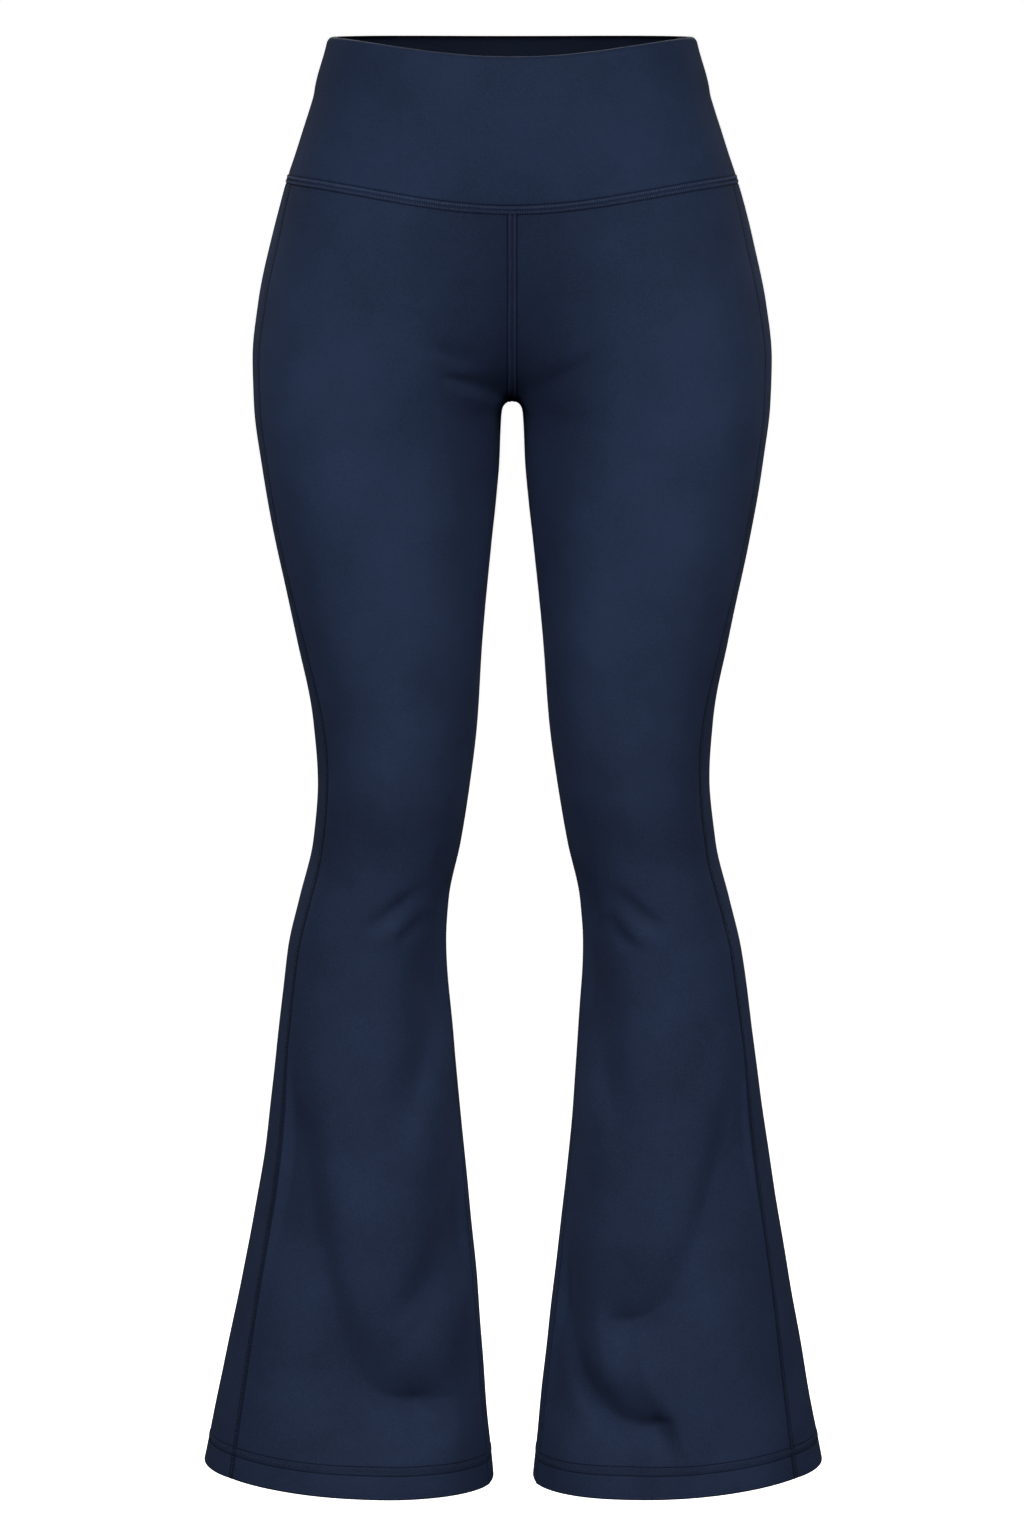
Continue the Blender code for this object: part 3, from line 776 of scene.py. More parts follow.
@dataclass
class LegPanels:
    """The four leg panels: a front and a back on each leg, with their seams, folds and hems."""

    form: WornForm
    wall: float = 0.0012
    hem_wall: float = 0.0026
    hip_rows: int = 44
    leg_rows: int = 250
    middle_columns: dict[Face, int] = field(default_factory=lambda: {Face.FRONT: 72, Face.BACK: 88})
    crotch_steps: tuple[float, ...] = (0.00002, 0.0002, 0.0005, 0.0010, 0.0018, 0.0028, 0.0042, 0.0060)
    hem_steps: tuple[float, ...] = (0.0066, 0.0044, 0.0024, 0.0010, 0.0)
    hem_edge: float = 0.0005
    seam_change: float = 0.03
    fan: float = 0.0050
    seam_fade: float = 0.009
    facing: tuple[float, float] = (0.15, 0.45)
    lump_size: float = 0.085
    lump_amount: float = 0.00045
    grids: dict[tuple[Leg, Face], ClothGrid] = field(init=False, default_factory=dict)

    @property
    def stitch_line(self) -> float:
        """The height at the side seam of the hem's row of stitches."""
        return self.form.hem_side + self.form.hem_depth

    def shares(self, z: Array, face: Face) -> Array:
        """Where the columns stand across a panel, as shares of its width at each height.

        Args:
            z: Heights of the rows, at the side seam.
            face: Front or back.

        Returns:
            A row of shares for each height. They are close together beside the seams.
        """
        stations = np.array(Ribbon.STATIONS)
        width = self.form.width(z, face)[:, None]
        near_side = stations * SIDE_RIBBON.half_width / width
        near_end = 1 - stations[::-1] * self.end_half_width(z)[:, None] / width
        even = np.linspace(0, 1, self.middle_columns[face] + 2)[1:-1]
        between = near_side[:, -1:] + (near_end[:, :1] - near_side[:, -1:]) * even
        return np.hstack([near_side, between, near_end])

    def end_half_width(self, z: Array) -> Array:
        """Half of the ribbon's width at a panel's end: the centre seam's, then the inseam's."""
        wide = smooth_step(self.form.crotch - self.seam_change, self.form.crotch, z)
        return SIDE_RIBBON.half_width + (CENTRE_RIBBON.half_width - SIDE_RIBBON.half_width) * wide

    def row_heights(self, near: Array) -> Array:
        """The heights of the rows from the yoke to the hem, with some close to the crotch.

        Args:
            near: How far those stand above and below it.

        Returns:
            The heights.
        """
        form = self.form
        stations = np.array(Ribbon.STATIONS)
        yoke, around = form.yoke_side - stations * YOKE_RIBBON.half_width, stations * HEM_RIBBON.half_width
        hem = np.concatenate([self.stitch_line + around[::-1], self.stitch_line - around[1:]])
        edge = np.array(self.hem_steps) + form.hem_side
        hip = np.linspace(yoke[-1], form.crotch + near[-1], self.hip_rows + 1)[1:-1]
        leg = np.linspace(form.crotch - near[-1], hem[0], self.leg_rows + 1)[1:-1]
        return np.concatenate([yoke, hip, form.crotch + near[::-1], form.crotch - near, leg, hem, edge])

    @property
    def first_row_below_crotch(self) -> int:
        """The first row whose end lies on the inseam."""
        return len(Ribbon.STATIONS) + self.hip_rows - 1 + len(self.crotch_steps)

    @property
    def hem_row(self) -> int:
        """The row that lies on the hem's row of stitches."""
        rows = len(self.crotch_steps) + self.leg_rows - 1 + len(Ribbon.STATIONS) - 1
        return self.first_row_below_crotch + rows

    def base(self, face: Face) -> tuple[Array, ...]:
        """A panel's points on the form, before its folds and seams.

        Args:
            face: Front or back.

        Returns:
            The nominal heights of the rows, the shares, the points and their normals.
        """
        form = self.form
        at_seam = self.row_heights(np.array(self.crotch_steps))
        at_side = self.row_heights(self.fan * (np.arange(len(self.crotch_steps)) + 0.5))
        share = self.shares(at_side, face)
        rows = at_side[:, None] + (at_seam - at_side)[:, None] * share**2
        fall = form.yoke_drop(share, face) * smooth_step(form.yoke_dip_ends, form.yoke_side, rows)
        below = np.clip((form.hem_drop_starts - rows) / (form.hem_drop_starts - form.hem_side), 0.0, 1.0)
        points = form.surface(rows - fall - form.hem_drop * share**form.hem_bow * below, share, face)
        return at_seam, rows, share, points, form.normals(points)

    def make_grid(self, leg: Leg, face: Face, base: tuple[Array, ...]) -> ClothGrid:
        """A panel's points with its folds, seams and hem.

        Args:
            leg: Which leg.
            face: Front or back.
            base: What base() says for that face.

        Returns:
            The grid.
        """
        form = self.form
        at_seam, rows, share, points, up = base
        width = form.width(points[..., 2], face)
        from_side, from_end = share * width, (1 - share) * width
        from_yoke, from_stitches = form.yoke_side - rows, rows - self.stitch_line
        clear = smooth_step(0.0, self.seam_fade, from_side) * smooth_step(0.0, self.seam_fade, from_end)
        clear = clear * smooth_step(0.0, self.seam_fade, from_yoke)
        place = points[..., [0, 2]]
        facing = smooth_step(*self.facing, face.way * up[..., 1])
        folded = sum(fold.push(place) for fold in FOLDS[leg, face])
        lumps = unevenness(points * [leg.side, 1, 1], self.lump_size, self.lump_amount)
        scale = self.end_half_width(rows) / CENTRE_RIBBON.half_width
        seams = (
            (SIDE_RIBBON, from_side, 1.0), (CENTRE_RIBBON, from_end / scale, scale),
            (YOKE_RIBBON, from_yoke, 1.0), (HEM_RIBBON, from_stitches, 1.0))
        reliefs = np.stack([ribbon.relief(distance) * size for ribbon, distance, size in seams])
        # Painted shade in the pressed lines beside each seam, and a darker tone over the ribbons
        groove = np.stack([ribbon.shade(distance) for ribbon, distance, _ in seams]).max(axis=0)
        relief = reliefs.max(axis=0) + reliefs.min(axis=0)
        out = relief + (lumps - folded * facing) * clear
        outer = points + up * out[..., None]
        in_hem = smooth_step(self.hem_edge, -self.hem_edge, from_stitches)
        wall = self.wall + (self.hem_wall - self.wall) * in_hem
        inner = outer - up * wall[..., None]
        above = at_seam > form.crotch
        outer[above, -1, 0] = inner[above, -1, 0] = 0.0
        uv = np.stack([from_side - width / 2, points[..., 2]], axis=-1)
        if leg is Leg.RIGHT:
            outer, inner, up = mirrored(outer), mirrored(inner), mirrored(up)
        return ClothGrid(swayed(outer), swayed(inner), up, uv, groove)

    def build(self, finish: Knit) -> None:
        """Args:
            finish: The cloth.
        """
        for face in Face:
            base = self.base(face)
            for leg in Leg:
                grid = self.grids[leg, face] = self.make_grid(leg, face, base)
                name = f"{face.value}_panel_{leg.value}_leg"
                piece = closed_wall(name, grid, ring=False)
                finish.dress(piece)
                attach(piece, BODY)
                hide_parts(f"leg_{face.value}_{leg.value}")
                report(piece)


@dataclass
class Waistband:
    """The wide band, folded double at the top, in one ring."""

    form: WornForm
    panels: LegPanels
    wall: float = 0.0022
    rows: int = 26
    fade: float = 0.012
    rise: float = 0.0018
    roll: float = 0.0052
    roll_in: float = 0.75
    roll_steps: tuple[float, ...] = (0.0, 0.06, 0.15, 0.28, 0.45, 0.70)
    lump_size: float = 0.075
    lump_amount: float = 0.00050
    grid: ClothGrid | None = field(init=False, default=None)

    def half(self, face: Face) -> tuple[Array, ...]:
        """The left half of the front or the back.

        Args:
            face: Front or back.

        Returns:
            Outer and inner points, normals, distances along the band, and the painted shade of the pressed
            lines.
        """
        form = self.form
        share = self.panels.shares(np.array([form.yoke_side]), face)
        stations = np.array(Ribbon.STATIONS) * YOKE_RIBBON.half_width
        height = -form.yoke_side
        rolled = self.roll * np.array(self.roll_steps)
        between = np.linspace(self.roll, height - stations[-1], self.rows)[:-1]
        down = np.concatenate([rolled, between, height - stations[::-1]])[:, None] / height
        top = self.rise - form.waist_dip[face] * np.sin(np.pi * share / 2) ** 2
        bottom = form.yoke_side - form.yoke_drop(share, face)
        points = form.surface(top + (bottom - top) * down, share + 0 * down, face)
        up = form.normals(points)
        from_yoke = (1 - down) * height + 0 * share
        clear = smooth_step(0.0, self.fade, from_yoke) * smooth_step(0.0, self.fade, down * height)
        lumps = unevenness(points, self.lump_size, self.lump_amount)
        over = 1 - np.clip(down * height / self.roll, 0.0, 1.0)
        rolled_in = self.roll_in * self.roll * (1 - np.sqrt(1 - over**2))
        outer = points + up * (YOKE_RIBBON.relief(from_yoke) + lumps * clear - rolled_in)[..., None]
        inner = outer - up * self.wall
        across = share * form.width(np.array([form.yoke_side]), face) + 0 * down
        uv = np.stack([across, points[..., 2]], axis=-1)
        for part in (outer, inner):
            part[:, -1, 0] = 0.0
        # The last is the painted shade in the yoke's pressed lines, with its darker seam tone
        return outer, inner, up, uv, YOKE_RIBBON.shade(from_yoke)

    def make_grid(self) -> ClothGrid:
        """The whole ring, from the left side by the front to the right side and back.

        Returns:
            The grid.
        """
        def quarters(halves: tuple[Array, Array], flip: Callable[[Array], Array] = np.array) -> list[Array]:
            """The ring's four quarters, in order.

            Args:
                halves: The left halves of the front and the back.
                flip: What makes the right halves of them.

            Returns:
                The quarters, without the columns that they share.
            """
            front, back = halves
            return [front, flip(front)[:, ::-1][:, 1:], flip(back)[:, 1:], back[:, ::-1][:, 1:]]

        *solid, uv, groove = zip(self.half(Face.FRONT), self.half(Face.BACK))
        outer, inner, up = (np.concatenate(quarters(halves, mirrored), axis=1) for halves in solid)
        uv = np.concatenate(self.run_on(quarters(uv)), axis=1)
        groove = np.concatenate(quarters(groove), axis=1)
        return ClothGrid(swayed(outer), swayed(inner), up, uv, groove)

    @staticmethod
    def run_on(quarters: list[Array]) -> list[Array]:
        """The distances along the band, made to run on from quarter to quarter.

        Args:
            quarters: The places on the cloth in each quarter, each measured from the side seam.

        Returns:
            The same, measured from the start of the ring.
        """
        front, back = (2 * float(quarters[number][..., 0].max()) for number in (0, 2))
        placed = []
        for quarter, sign, start in zip(quarters, (1, -1, 1, -1), (0.0, front, front, front + back)):
            moved = quarter.copy()
            moved[..., 0] = start + sign * quarter[..., 0]
            placed.append(moved)
        return placed

    def build(self, finish: Knit) -> None:
        """Args:
            finish: The cloth.
        """
        self.grid = self.make_grid()
        piece = closed_wall("waistband", self.grid, ring=True)
        finish.dress(piece)
        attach(piece, BODY)
        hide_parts("waistband_front", "waistband_back")
        report(piece)


# ---- Threads ----

# What each point of a line says of the thread that lies there
LINE_KINDS = {"up": "FLOAT_VECTOR", "slant": "FLOAT", "size": "FLOAT_VECTOR"}


class Stitch(NamedTuple):
    """A kind of stitch: a thread's length and width, the spacing, the lean in degrees, and its height."""

    length: float
    width: float
    spacing: float
    lean: float = 0.0
    height: float = 0.00045


@dataclass
class Stitching:
    """The rows of thread on the seams, laid along each line by one node tree."""

    panels: LegPanels
    band: Waistband
    pale: Thread
    medium: Thread
    plain: Thread
    lift: float = 0.00012
    jitter: float = 0.10
    seed: int = 7
    # How many rows or columns from a panel's edge a needle runs, and how many are left clear at an end
    needle: int = 2
    side_clear: int = 4
    crotch_clear: int = 2
    yoke_upper: Stitch = Stitch(0.0021, 0.0011, 0.0017)
    yoke_lower: Stitch = Stitch(0.0018, 0.0010, 0.0017)
    flatlock: Stitch = Stitch(0.0022, 0.0008, 0.0016, 28.0)
    side_seam: Stitch = Stitch(0.0028, 0.0008, 0.0019, 20.0, 0.0003)
    inseam: Stitch = Stitch(0.0028, 0.0008, 0.0019, 20.0, 0.0002)
    coverstitch: Stitch = Stitch(0.0040, 0.0008, 0.0017, 12.0, 0.0003)

    @cached_property
    def tree(self) -> Tree:
        """The tree that lays threads along lines. Each line's points say which way is out of the cloth.

        Returns:
            The tree, with its sizes as named inputs.
        """
        tree = bpy.data.node_groups.new("threads_along_lines", "GeometryNodeTree")
        tree.interface.new_socket("Geometry", in_out="OUTPUT", socket_type="NodeSocketGeometry")
        kinds = {
            "Geometry": "Geometry", "Spacing": "Float", "Jitter": "Float", "Seed": "Int",
            "Thread": "Material"}
        for name, kind in kinds.items():
            tree.interface.new_socket(name, in_out="INPUT", socket_type=f"NodeSocket{kind}")
        add = partial(add_node, tree)
        given = add("NodeGroupInput").outputs
        curve = add("GeometryNodeMeshToCurve", inputs={"Mesh": given["Geometry"]})
        points = add("GeometryNodeCurveToPoints", {"mode": "LENGTH"}, {
            "Curve": curve.outputs["Curve"], "Length": given["Spacing"]})
        up, slant, size = (
            add("GeometryNodeInputNamedAttribute", {"data_type": kind}, {"Name": name}).outputs["Attribute"]
            for name, kind in LINE_KINDS.items())
        wobble = add("FunctionNodeRandomValue", {"data_type": "FLOAT"}, {"Seed": given["Seed"]})
        for name, sign in (("Min", -1.0), ("Max", 1.0)):
            bound = add("ShaderNodeMath", {"operation": "MULTIPLY"}, {0: given["Jitter"], 1: sign})
            end = next(socket for socket in wobble.inputs if socket.name == name and socket.type == "VALUE")
            tree.links.new(bound.outputs[0], end)
        value = next(socket for socket in wobble.outputs if socket.type == "VALUE")
        turn = add("ShaderNodeMath", {"operation": "ADD"}, {0: slant, 1: value})
        lie = add("FunctionNodeAxesToRotation", {"primary_axis": "Z", "secondary_axis": "X"}, {
            0: up, 1: points.outputs["Tangent"]})
        spin = add("FunctionNodeAxisAngleToRotation", inputs={"Axis": (0.0, 0.0, 1.0), "Angle": turn})
        turned = add("FunctionNodeRotateRotation", {"rotation_space": "LOCAL"}, {0: lie, 1: spin})
        thread = add("GeometryNodeMeshUVSphere", inputs={"Segments": 6, "Rings": 4, "Radius": 0.5})
        laid = add("GeometryNodeInstanceOnPoints", inputs={
            "Points": points.outputs["Points"], "Instance": thread.outputs["Mesh"],
            "Rotation": turned, "Scale": size})
        real = add("GeometryNodeRealizeInstances", inputs={0: laid})
        smooth = add("GeometryNodeSetShadeSmooth", inputs={0: real})
        dressed = add("GeometryNodeSetMaterial", inputs={"Geometry": smooth, "Material": given["Thread"]})
        add("NodeGroupOutput", inputs={0: dressed})
        return tree

    def lay(self, name: str, stitch: Stitch, thread: Thread, rows: list[ThreadRow]) -> None:
        """Lays rows of thread and makes them one piece.

        Args:
            name: The piece's name.
            stitch: How the threads lie.
            thread: What the thread is.
            rows: The lines that they follow.
        """
        vertices, edges, slants = [], [], []
        for row in rows:
            edges += [(k, k + 1) for k in range(len(vertices), len(vertices) + len(row.points) - 1)]
            vertices += (row.points + row.up * self.lift).tolist()
            slants += [math.radians(90) + row.way * math.radians(stitch.lean)] * len(row.points)
        ups = np.concatenate([row.up for row in rows])
        sizes = np.tile((stitch.length, stitch.width, stitch.height), (len(vertices), 1))
        lines = bpy.data.meshes.new(f"{name}_lines")
        lines.from_pydata(vertices, edges, [])
        for (key, kind), values in zip(LINE_KINDS.items(), (ups, slants, sizes)):
            layer = lines.attributes.new(key, kind, "POINT")
            channel = "vector" if kind == "FLOAT_VECTOR" else "value"
            layer.data.foreach_set(channel, np.array(values, np.float32).ravel())
        guide = add_object(f"{name}_guide", lines)
        modifier = guide.modifiers.new("threads", "NODES")
        modifier.node_group = self.tree
        items = self.tree.interface.items_tree
        sockets = {item.name: item.identifier for item in items if item.in_out == "INPUT"}
        settings = {
            "Spacing": stitch.spacing, "Jitter": self.jitter, "Seed": self.seed, "Thread": thread.material()}
        for key, value in settings.items():
            modifier[sockets[key]] = value
        mesh = bpy.data.meshes.new_from_object(guide.evaluated_get(bpy.context.evaluated_depsgraph_get()))
        mesh.name = name
        bpy.data.objects.remove(guide)
        piece = add_object(name, mesh)
        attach(piece, BODY)
        report(piece)

    def build(self) -> None:
        """Lays the threads of every seam and hem."""
        grids, first, hem = self.panels.grids, self.panels.first_row_below_crotch, self.panels.hem_row
        band = self.band.grid.row(-1 - self.needle)
        self.lay("yoke_upper_stitches", self.yoke_upper, self.pale, [band])
        rows = [grids[leg, face].row(self.needle) for leg in Leg for face in Face]
        self.lay("yoke_lower_stitches", self.yoke_lower, self.medium, rows)
        for face in Face:
            centre = np.s_[len(Ribbon.STATIONS) // 2:first - self.crotch_clear, -1 - self.needle]
            rows = [grids[leg, face].row(centre, -leg.side) for leg in Leg]
            self.lay(f"centre_{face.value}_flatlock", self.flatlock, self.medium, rows)
        for leg in Leg:
            front, back = grids[leg, Face.FRONT], grids[leg, Face.BACK]
            for name, stitch, rows in (
                ("side_seam_stitches", self.side_seam, [front.row(np.s_[self.side_clear:-1, 0])]),
                ("inseam_stitches", self.inseam, [front.row(np.s_[first:, -1])]),
                ("hem_coverstitch", self.coverstitch, [front.row(hem), back.row(hem)]),
            ):
                self.lay(f"{name}_{leg.value}", stitch, self.plain, rows)


# ---- Finishes ----


def linear(hex_code: str) -> tuple[float, float, float, float]:
    """An sRGB hex colour, which is six digits after a #, in linear light with an alpha of 1."""
    channels = [int(hex_code[k:k + 2], 16) / 255 for k in (1, 3, 5)]
    return (*(c / 12.92 if c <= 0.04045 else ((c + 0.055) / 1.055) ** 2.4 for c in channels), 1.0)


def add_node(
    tree: Tree, kind: str, settings: dict[str, Any] | None = None, inputs: dict[Any, Any] | None = None
) -> bpy.types.Node:
    """Adds a node to a tree.

    Args:
        tree: The tree.
        kind: The node's type.
        settings: Its properties.
        inputs: Its sockets by name or number, each with a value, or the socket that feeds it, or the
            node whose first output does.

    Returns:
        The node.
    """
    node = tree.nodes.new(kind)
    for name, value in (settings or {}).items():
        setattr(node, name, value)
    for name, value in (inputs or {}).items():
        if isinstance(value, (bpy.types.NodeSocket, bpy.types.Node)):
            tree.links.new(getattr(value, "outputs", [value])[0], node.inputs[name])
        else:
            node.inputs[name].default_value = value
    return node


@dataclass(frozen=True)
class Finish:
    """What a piece is made of. Its subclasses say how each real material looks."""

    name: str

    def surface(self, tree: Tree) -> bpy.types.Node:
        """The finish's shader, with the nodes that feed it."""
        raise NotImplementedError

    def material(self) -> bpy.types.Material:
        """The finish's material, which is made when it is first wanted.

        Returns:
            The material.
        """
        material = bpy.data.materials.get(self.name)
        if material is None:
            material = bpy.data.materials.new(self.name)
            material.use_nodes = True
            material.node_tree.nodes.clear()
            shader = self.surface(material.node_tree)
            add_node(material.node_tree, "ShaderNodeOutputMaterial", inputs={"Surface": shader})
        return material

    def dress(self, piece: Piece) -> None:
        """Gives a piece this finish."""
        piece.data.materials.clear()
        piece.data.materials.append(self.material())


@dataclass(frozen=True)
class Knit(Finish):
    """Nylon and elastane jersey, brushed matt: small ribs of V stitches, and a soft sheen at grazing view.

    A real wale is about 0.5 mm wide, which is too fine to show, so it is drawn 1.8 mm wide.
    """

    deep: str
    pale: str
    wale: float = 0.0018
    course: float = 0.0015
    loop_share: float = 0.35
    mottle: float = 0.050
    mottle_share: float = 0.9
    grain: float = 1 / 700
    roughness: float = 0.78
    sheen: float = 0.015
    sheen_tint: str = "#a9a8d8"
    # The colour that painted shade and the seam tone are mixed towards, and how far
    groove: str = "#080b14"
    painted_shade_and_tone_strength: float = 0.85

    def surface(self, tree: Tree) -> bpy.types.Node:
        """V stitches in ribs, over a mottled dye with a fine grain, darkened by painted shade and a seam
        tone.

        Args:
            tree: The material's tree.

        Returns:
            The shader.
        """
        add = partial(add_node, tree)
        uv = add("ShaderNodeUVMap", {"uv_map": CLOTH_UV})
        split = add("ShaderNodeSeparateXYZ", inputs={0: uv}).outputs
        ribs = add("ShaderNodeMath", {"operation": "MULTIPLY"}, {0: split[0], 1: 1 / self.wale})
        part = add("ShaderNodeMath", {"operation": "FRACT"}, {0: ribs})
        lean = add("ShaderNodeMath", {"operation": "PINGPONG"}, {0: part, 1: 0.5})
        rows = add("ShaderNodeMath", {"operation": "MULTIPLY_ADD"}, {
            0: split[1], 1: 1 / self.course, 2: lean})
        waves = []
        for source in (rows, lean):
            turn = add("ShaderNodeMath", {"operation": "MULTIPLY"}, {0: source, 1: 2 * math.pi})
            waves.append(add("ShaderNodeMath", {"operation": "SINE"}, {0: turn}))
        height = add("ShaderNodeMath", {"operation": "MULTIPLY_ADD"}, {
            0: waves[0], 1: self.loop_share, 2: waves[1]})
        place = add("ShaderNodeTexCoord").outputs["Object"]
        cloud = add("ShaderNodeTexNoise", {"noise_dimensions": "3D"}, {
            "Vector": place, "Scale": 1 / self.mottle, "Detail": 3.0, "Roughness": 0.55})
        grain = add("ShaderNodeTexNoise", {"noise_dimensions": "3D"}, {
            "Vector": place, "Scale": 1 / self.grain, "Detail": 2.0, "Roughness": 0.6})
        blend = add("ShaderNodeMath", {"operation": "MULTIPLY_ADD"}, {
            0: cloud, 1: self.mottle_share, 2: grain})
        shade = add("ShaderNodeMapRange", inputs={"Value": blend, "From Min": 0.55, "From Max": 1.35})
        cloth = add("ShaderNodeMix", {"data_type": "RGBA"}, {
            0: shade, 6: linear(self.deep), 7: linear(self.pale)})
        # Painted shade: the attribute darkens the pressed lines, the inside and the folded edges, and tones
        # the seams
        groove = add("ShaderNodeAttribute", {"attribute_name": SEAM_TONE_AND_PAINTED_SHADE})
        dark = add("ShaderNodeMath", {"operation": "MULTIPLY"}, {
            0: groove.outputs["Fac"], 1: self.painted_shade_and_tone_strength})
        colour = add("ShaderNodeMix", {"data_type": "RGBA"}, {
            0: dark, 6: cloth.outputs[2], 7: linear(self.groove)})
        bump = add("ShaderNodeBump", inputs={"Height": height, "Strength": 0.35, "Distance": 0.00010})
        return add("ShaderNodeBsdfPrincipled", inputs={
            "Base Color": colour.outputs[2], "Normal": bump, "Roughness": self.roughness,
            "IOR": 1.5, "Specular IOR Level": 0.06, "Sheen Weight": self.sheen, "Sheen Roughness": 0.45,
            "Sheen Tint": linear(self.sheen_tint)})


@dataclass(frozen=True)
class Thread(Finish):
    """Textured polyester sewing thread: near the cloth's colour, and a little glossy along each stitch."""

    deep: str
    pale: str
    fray: float = 1 / 900
    roughness: float = 0.60

    def surface(self, tree: Tree) -> bpy.types.Node:
        """Fibres in two tones, which also roughen it.

        Args:
            tree: The material's tree.

        Returns:
            The shader.
        """
        add = partial(add_node, tree)
        fray = add("ShaderNodeTexNoise", {"noise_dimensions": "3D"}, {
            "Vector": add("ShaderNodeTexCoord").outputs["Object"], "Scale": 1 / self.fray, "Detail": 1.0})
        tone = add("ShaderNodeMapRange", inputs={"Value": fray, "From Min": 0.3, "From Max": 0.7})
        colour = add("ShaderNodeMix", {"data_type": "RGBA"}, {
            0: tone, 6: linear(self.deep), 7: linear(self.pale)})
        bump = add("ShaderNodeBump", inputs={"Height": fray, "Strength": 0.3, "Distance": 0.00005})
        return add("ShaderNodeBsdfPrincipled", inputs={
            "Base Color": colour.outputs[2], "Normal": bump, "Roughness": self.roughness,
            "IOR": 1.53, "Specular IOR Level": 0.25})


@dataclass(frozen=True)
class BlackCard(Finish):
    """Matt black card, which throws a soft shade and gives nothing back."""

    name: str = "matt_black_card"
    colour: str = "#101010"

    def surface(self, tree: Tree) -> bpy.types.Node:
        """Even black."""
        return add_node(tree, "ShaderNodeBsdfPrincipled", inputs={
            "Base Color": linear(self.colour), "Roughness": 0.9, "IOR": 1.45, "Specular IOR Level": 0.2})


@dataclass(frozen=True)
class PaperFloor(Finish):
    """Matt white paper, lit through as a studio sweep is, so that it stays white to its far edge."""

    name: str = "white_studio_paper"
    deep: str = "#f6f6f6"
    pale: str = "#fbfbfb"
    glow: float = 1.0

    def surface(self, tree: Tree) -> bpy.types.Node:
        """Faint fibres in glowing white.

        Args:
            tree: The material's tree.

        Returns:
            The shader.
        """
        add = partial(add_node, tree)
        fibre = add("ShaderNodeTexNoise", inputs={
            "Vector": add("ShaderNodeTexCoord").outputs["Object"], "Scale": 6.0, "Detail": 2.0})
        tone = add("ShaderNodeMix", {"data_type": "RGBA"}, {
            0: fibre, 6: linear(self.deep), 7: linear(self.pale)})
        return add("ShaderNodeBsdfPrincipled", inputs={
            "Base Color": tone.outputs[2], "Roughness": 0.9, "IOR": 1.45,
            "Emission Color": (1.0, 1.0, 1.0, 1.0), "Emission Strength": self.glow})


# ---- Studio ----

# The corners of a square, in order round it
SQUARE = ((-1, -1), (1, -1), (1, 1), (-1, 1))


@dataclass(frozen=True)
class SoftLight:
    """A square soft light: where it stands, what it faces, its side, its power and its beam in degrees."""

    name: str
    place: Place
    target: Place
    side: float
    power: float
    beam: float

    def build(self) -> None:
        """Hangs the light."""
        lamp = bpy.data.lights.new(self.name, "AREA")
        lamp.shape = "SQUARE"
        lamp.size = self.side
        lamp.energy = self.power
        lamp.spread = math.radians(self.beam)
        light = add_object(self.name, lamp)
        light.location = self.place
        aim = Vector(self.target) - Vector(self.place)
        light.rotation_euler = aim.to_track_quat("-Z", "Y").to_euler()


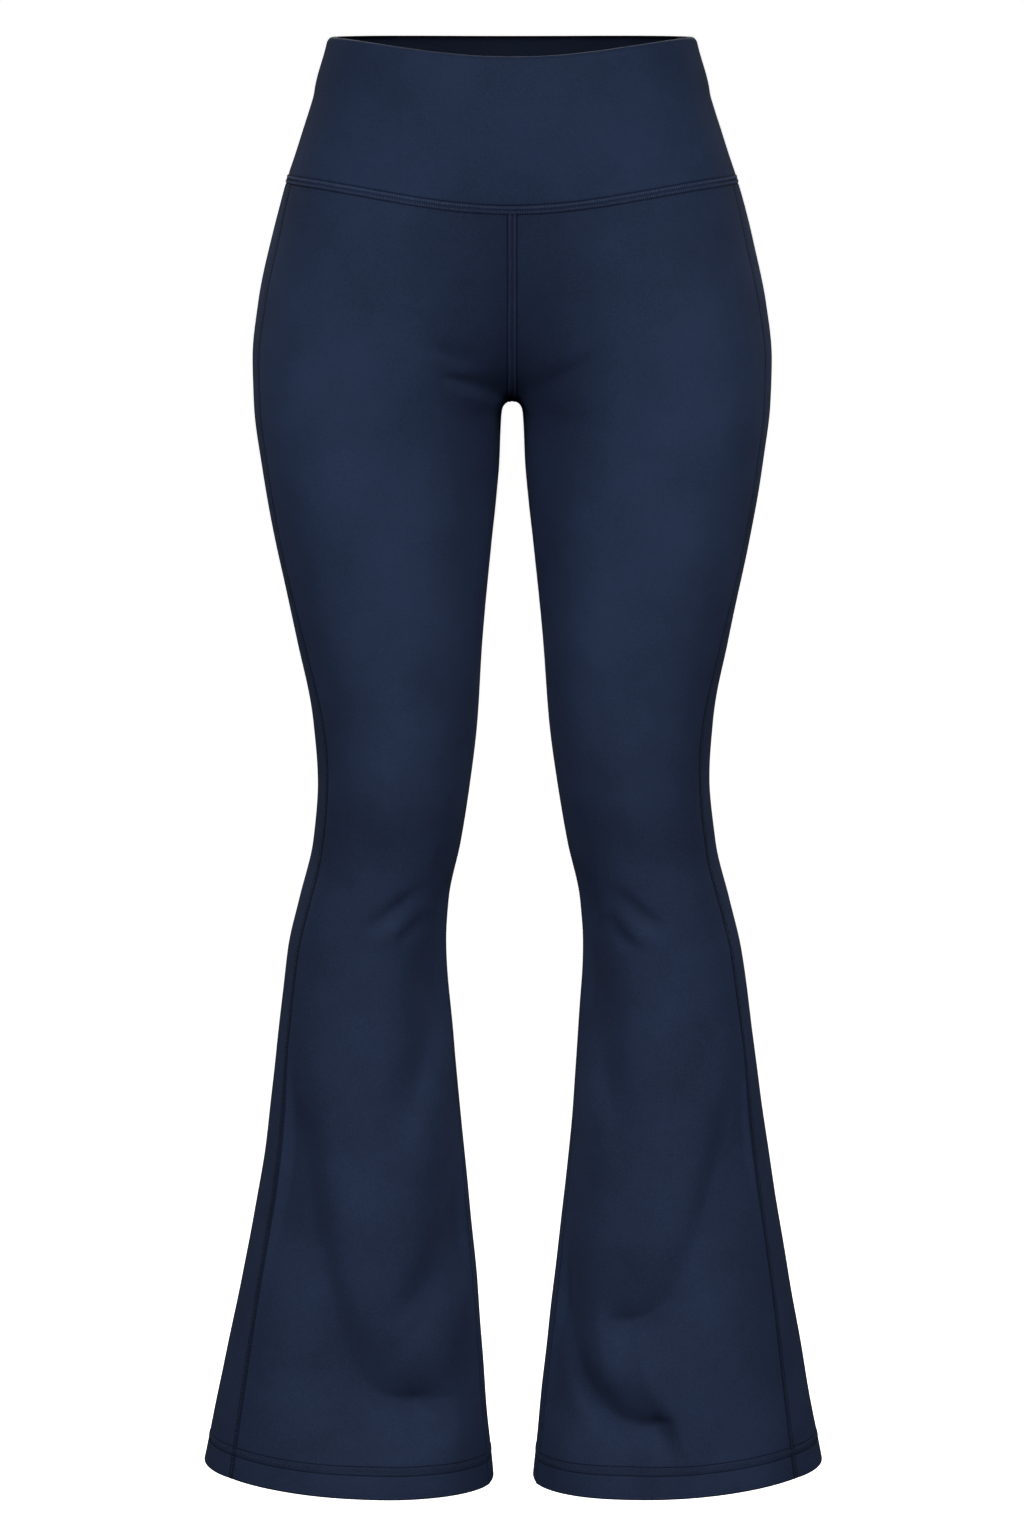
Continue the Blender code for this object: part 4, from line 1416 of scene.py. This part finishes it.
@dataclass
class Studio:
    """The floor, the soft lights and the camera."""

    floor_height: float = -1.32
    floor_half: float = 150.0
    camera_place: Place = (0.0, -3.4, 0.10)
    camera_tilt: float = 10.613
    lens: float = 108.9
    sensor: float = 36.0
    clip_end: float = 500.0
    world_strength: float = 1.0
    flag_place: Place = (0.0, -0.60, 0.060)
    flag_size: tuple[float, float] = (0.115, 0.172)
    lights: tuple[SoftLight, ...] = (
        SoftLight("key_light", (0.0, -3.4, 1.5), (0.0, 0.0, -0.95), 0.8, 11.4, 60.0),
        SoftLight("left_front_light", (-2.4, -2.4, 0.6), (0.0, 0.0, -1.05), 0.9, 3.1, 55.0),
        SoftLight("right_front_light", (2.4, -2.4, 0.6), (0.0, 0.0, -1.05), 0.9, 3.1, 55.0),
        SoftLight("left_hip_light", (-2.2, -2.6, 0.3), (-0.120, -0.08, -0.25), 0.3, 0.11, 8.5),
        SoftLight("right_hip_light", (2.2, -2.6, 0.3), (0.120, -0.08, -0.25), 0.3, 0.11, 8.5),
        SoftLight("back_light", (0.0, 3.4, 1.5), (0.0, 0.0, -0.95), 0.8, 11.4, 60.0),
        SoftLight("left_back_light", (-2.4, 2.4, 0.6), (0.0, 0.0, -1.05), 0.9, 3.1, 55.0),
        SoftLight("right_back_light", (2.4, 2.4, 0.6), (0.0, 0.0, -1.05), 0.9, 3.1, 55.0),
    )

    def build(self) -> None:
        """Sets up the studio."""
        self.lay_floor()
        self.fill_world()
        for light in self.lights:
            light.build()
        self.hang_flag()
        self.place_camera()

    def backdrop(self, name: str, finish: Finish, corners: list[Place]) -> Piece:
        """Hangs a sheet that can be seen, while only the lamps light the cloth.

        Args:
            name: Its name.
            finish: What it is made of.
            corners: Its four corners.

        Returns:
            The sheet.
        """
        mesh = bpy.data.meshes.new(name)
        mesh.from_pydata(corners, [], [(0, 1, 2, 3)])
        mesh.materials.append(finish.material())
        sheet = add_object(name, mesh)
        sheet.visible_diffuse = False
        sheet.visible_glossy = False
        return sheet

    def lay_floor(self) -> None:
        """Lays the paper floor."""
        half, z = self.floor_half, self.floor_height
        floor = self.backdrop("studio_floor", PaperFloor(), [(x * half, y * half, z) for x, y in SQUARE])

    def hang_flag(self) -> None:
        """Hangs a small black card under the key light, which keeps the belly in soft shade."""
        across, along = self.flag_size[0] / 2, self.flag_size[1] / 2
        flag = self.backdrop("studio_flag", BlackCard(), [(x * across, 0, y * along) for x, y in SQUARE])
        flag.location = self.flag_place
        flag.visible_camera = False

    def fill_world(self) -> None:
        """Surrounds the object with even white."""
        world = bpy.data.worlds.new("studio_air")
        world.use_nodes = True
        back = world.node_tree.nodes["Background"]
        back.inputs["Color"].default_value = (1.0, 1.0, 1.0, 1.0)
        back.inputs["Strength"].default_value = self.world_strength
        world.cycles_visibility.diffuse = False
        world.cycles_visibility.glossy = False
        bpy.context.scene.world = world

    def place_camera(self) -> None:
        """Places the camera a little above the waist, tilted down, as the photographed view is."""
        lens = bpy.data.cameras.new("studio_camera")
        lens.lens = self.lens
        lens.sensor_width = self.sensor
        lens.sensor_fit = "AUTO"
        lens.clip_end = self.clip_end
        camera = add_object("studio_camera", lens)
        camera.location = self.camera_place
        camera.rotation_euler = (math.radians(90 - self.camera_tilt), 0.0, 0.0)
        bpy.context.scene.camera = camera
        bpy.context.scene.view_settings.view_transform = "Standard"


def report(piece: Piece) -> None:
    """Says in the log what a piece is made of."""
    log.info("%s: %d faces", piece.name, len(piece.data.polygons))


def main() -> None:
    """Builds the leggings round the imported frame, and the studio round them."""
    logging.basicConfig(level=logging.INFO, format="%(name)s: %(message)s")
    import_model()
    form = WornForm()
    leg_knit = Knit("brushed_navy_jersey", "#1e273b", "#28344e")
    band_knit = Knit("doubled_navy_jersey", "#202a3f", "#2a3753")
    panels = LegPanels(form)
    panels.build(leg_knit)
    band = Waistband(form, panels)
    band.build(band_knit)
    pale_thread = Thread("pale_polyester_thread", "#24304c", "#364668")
    medium_thread = Thread("blue_polyester_thread", "#202c48", "#304062")
    plain_thread = Thread("navy_polyester_thread", "#141c2f", "#222e48")
    Stitching(panels, band, pale_thread, medium_thread, plain_thread).build()
    Studio().build()


if __name__ == "__main__":
    main()
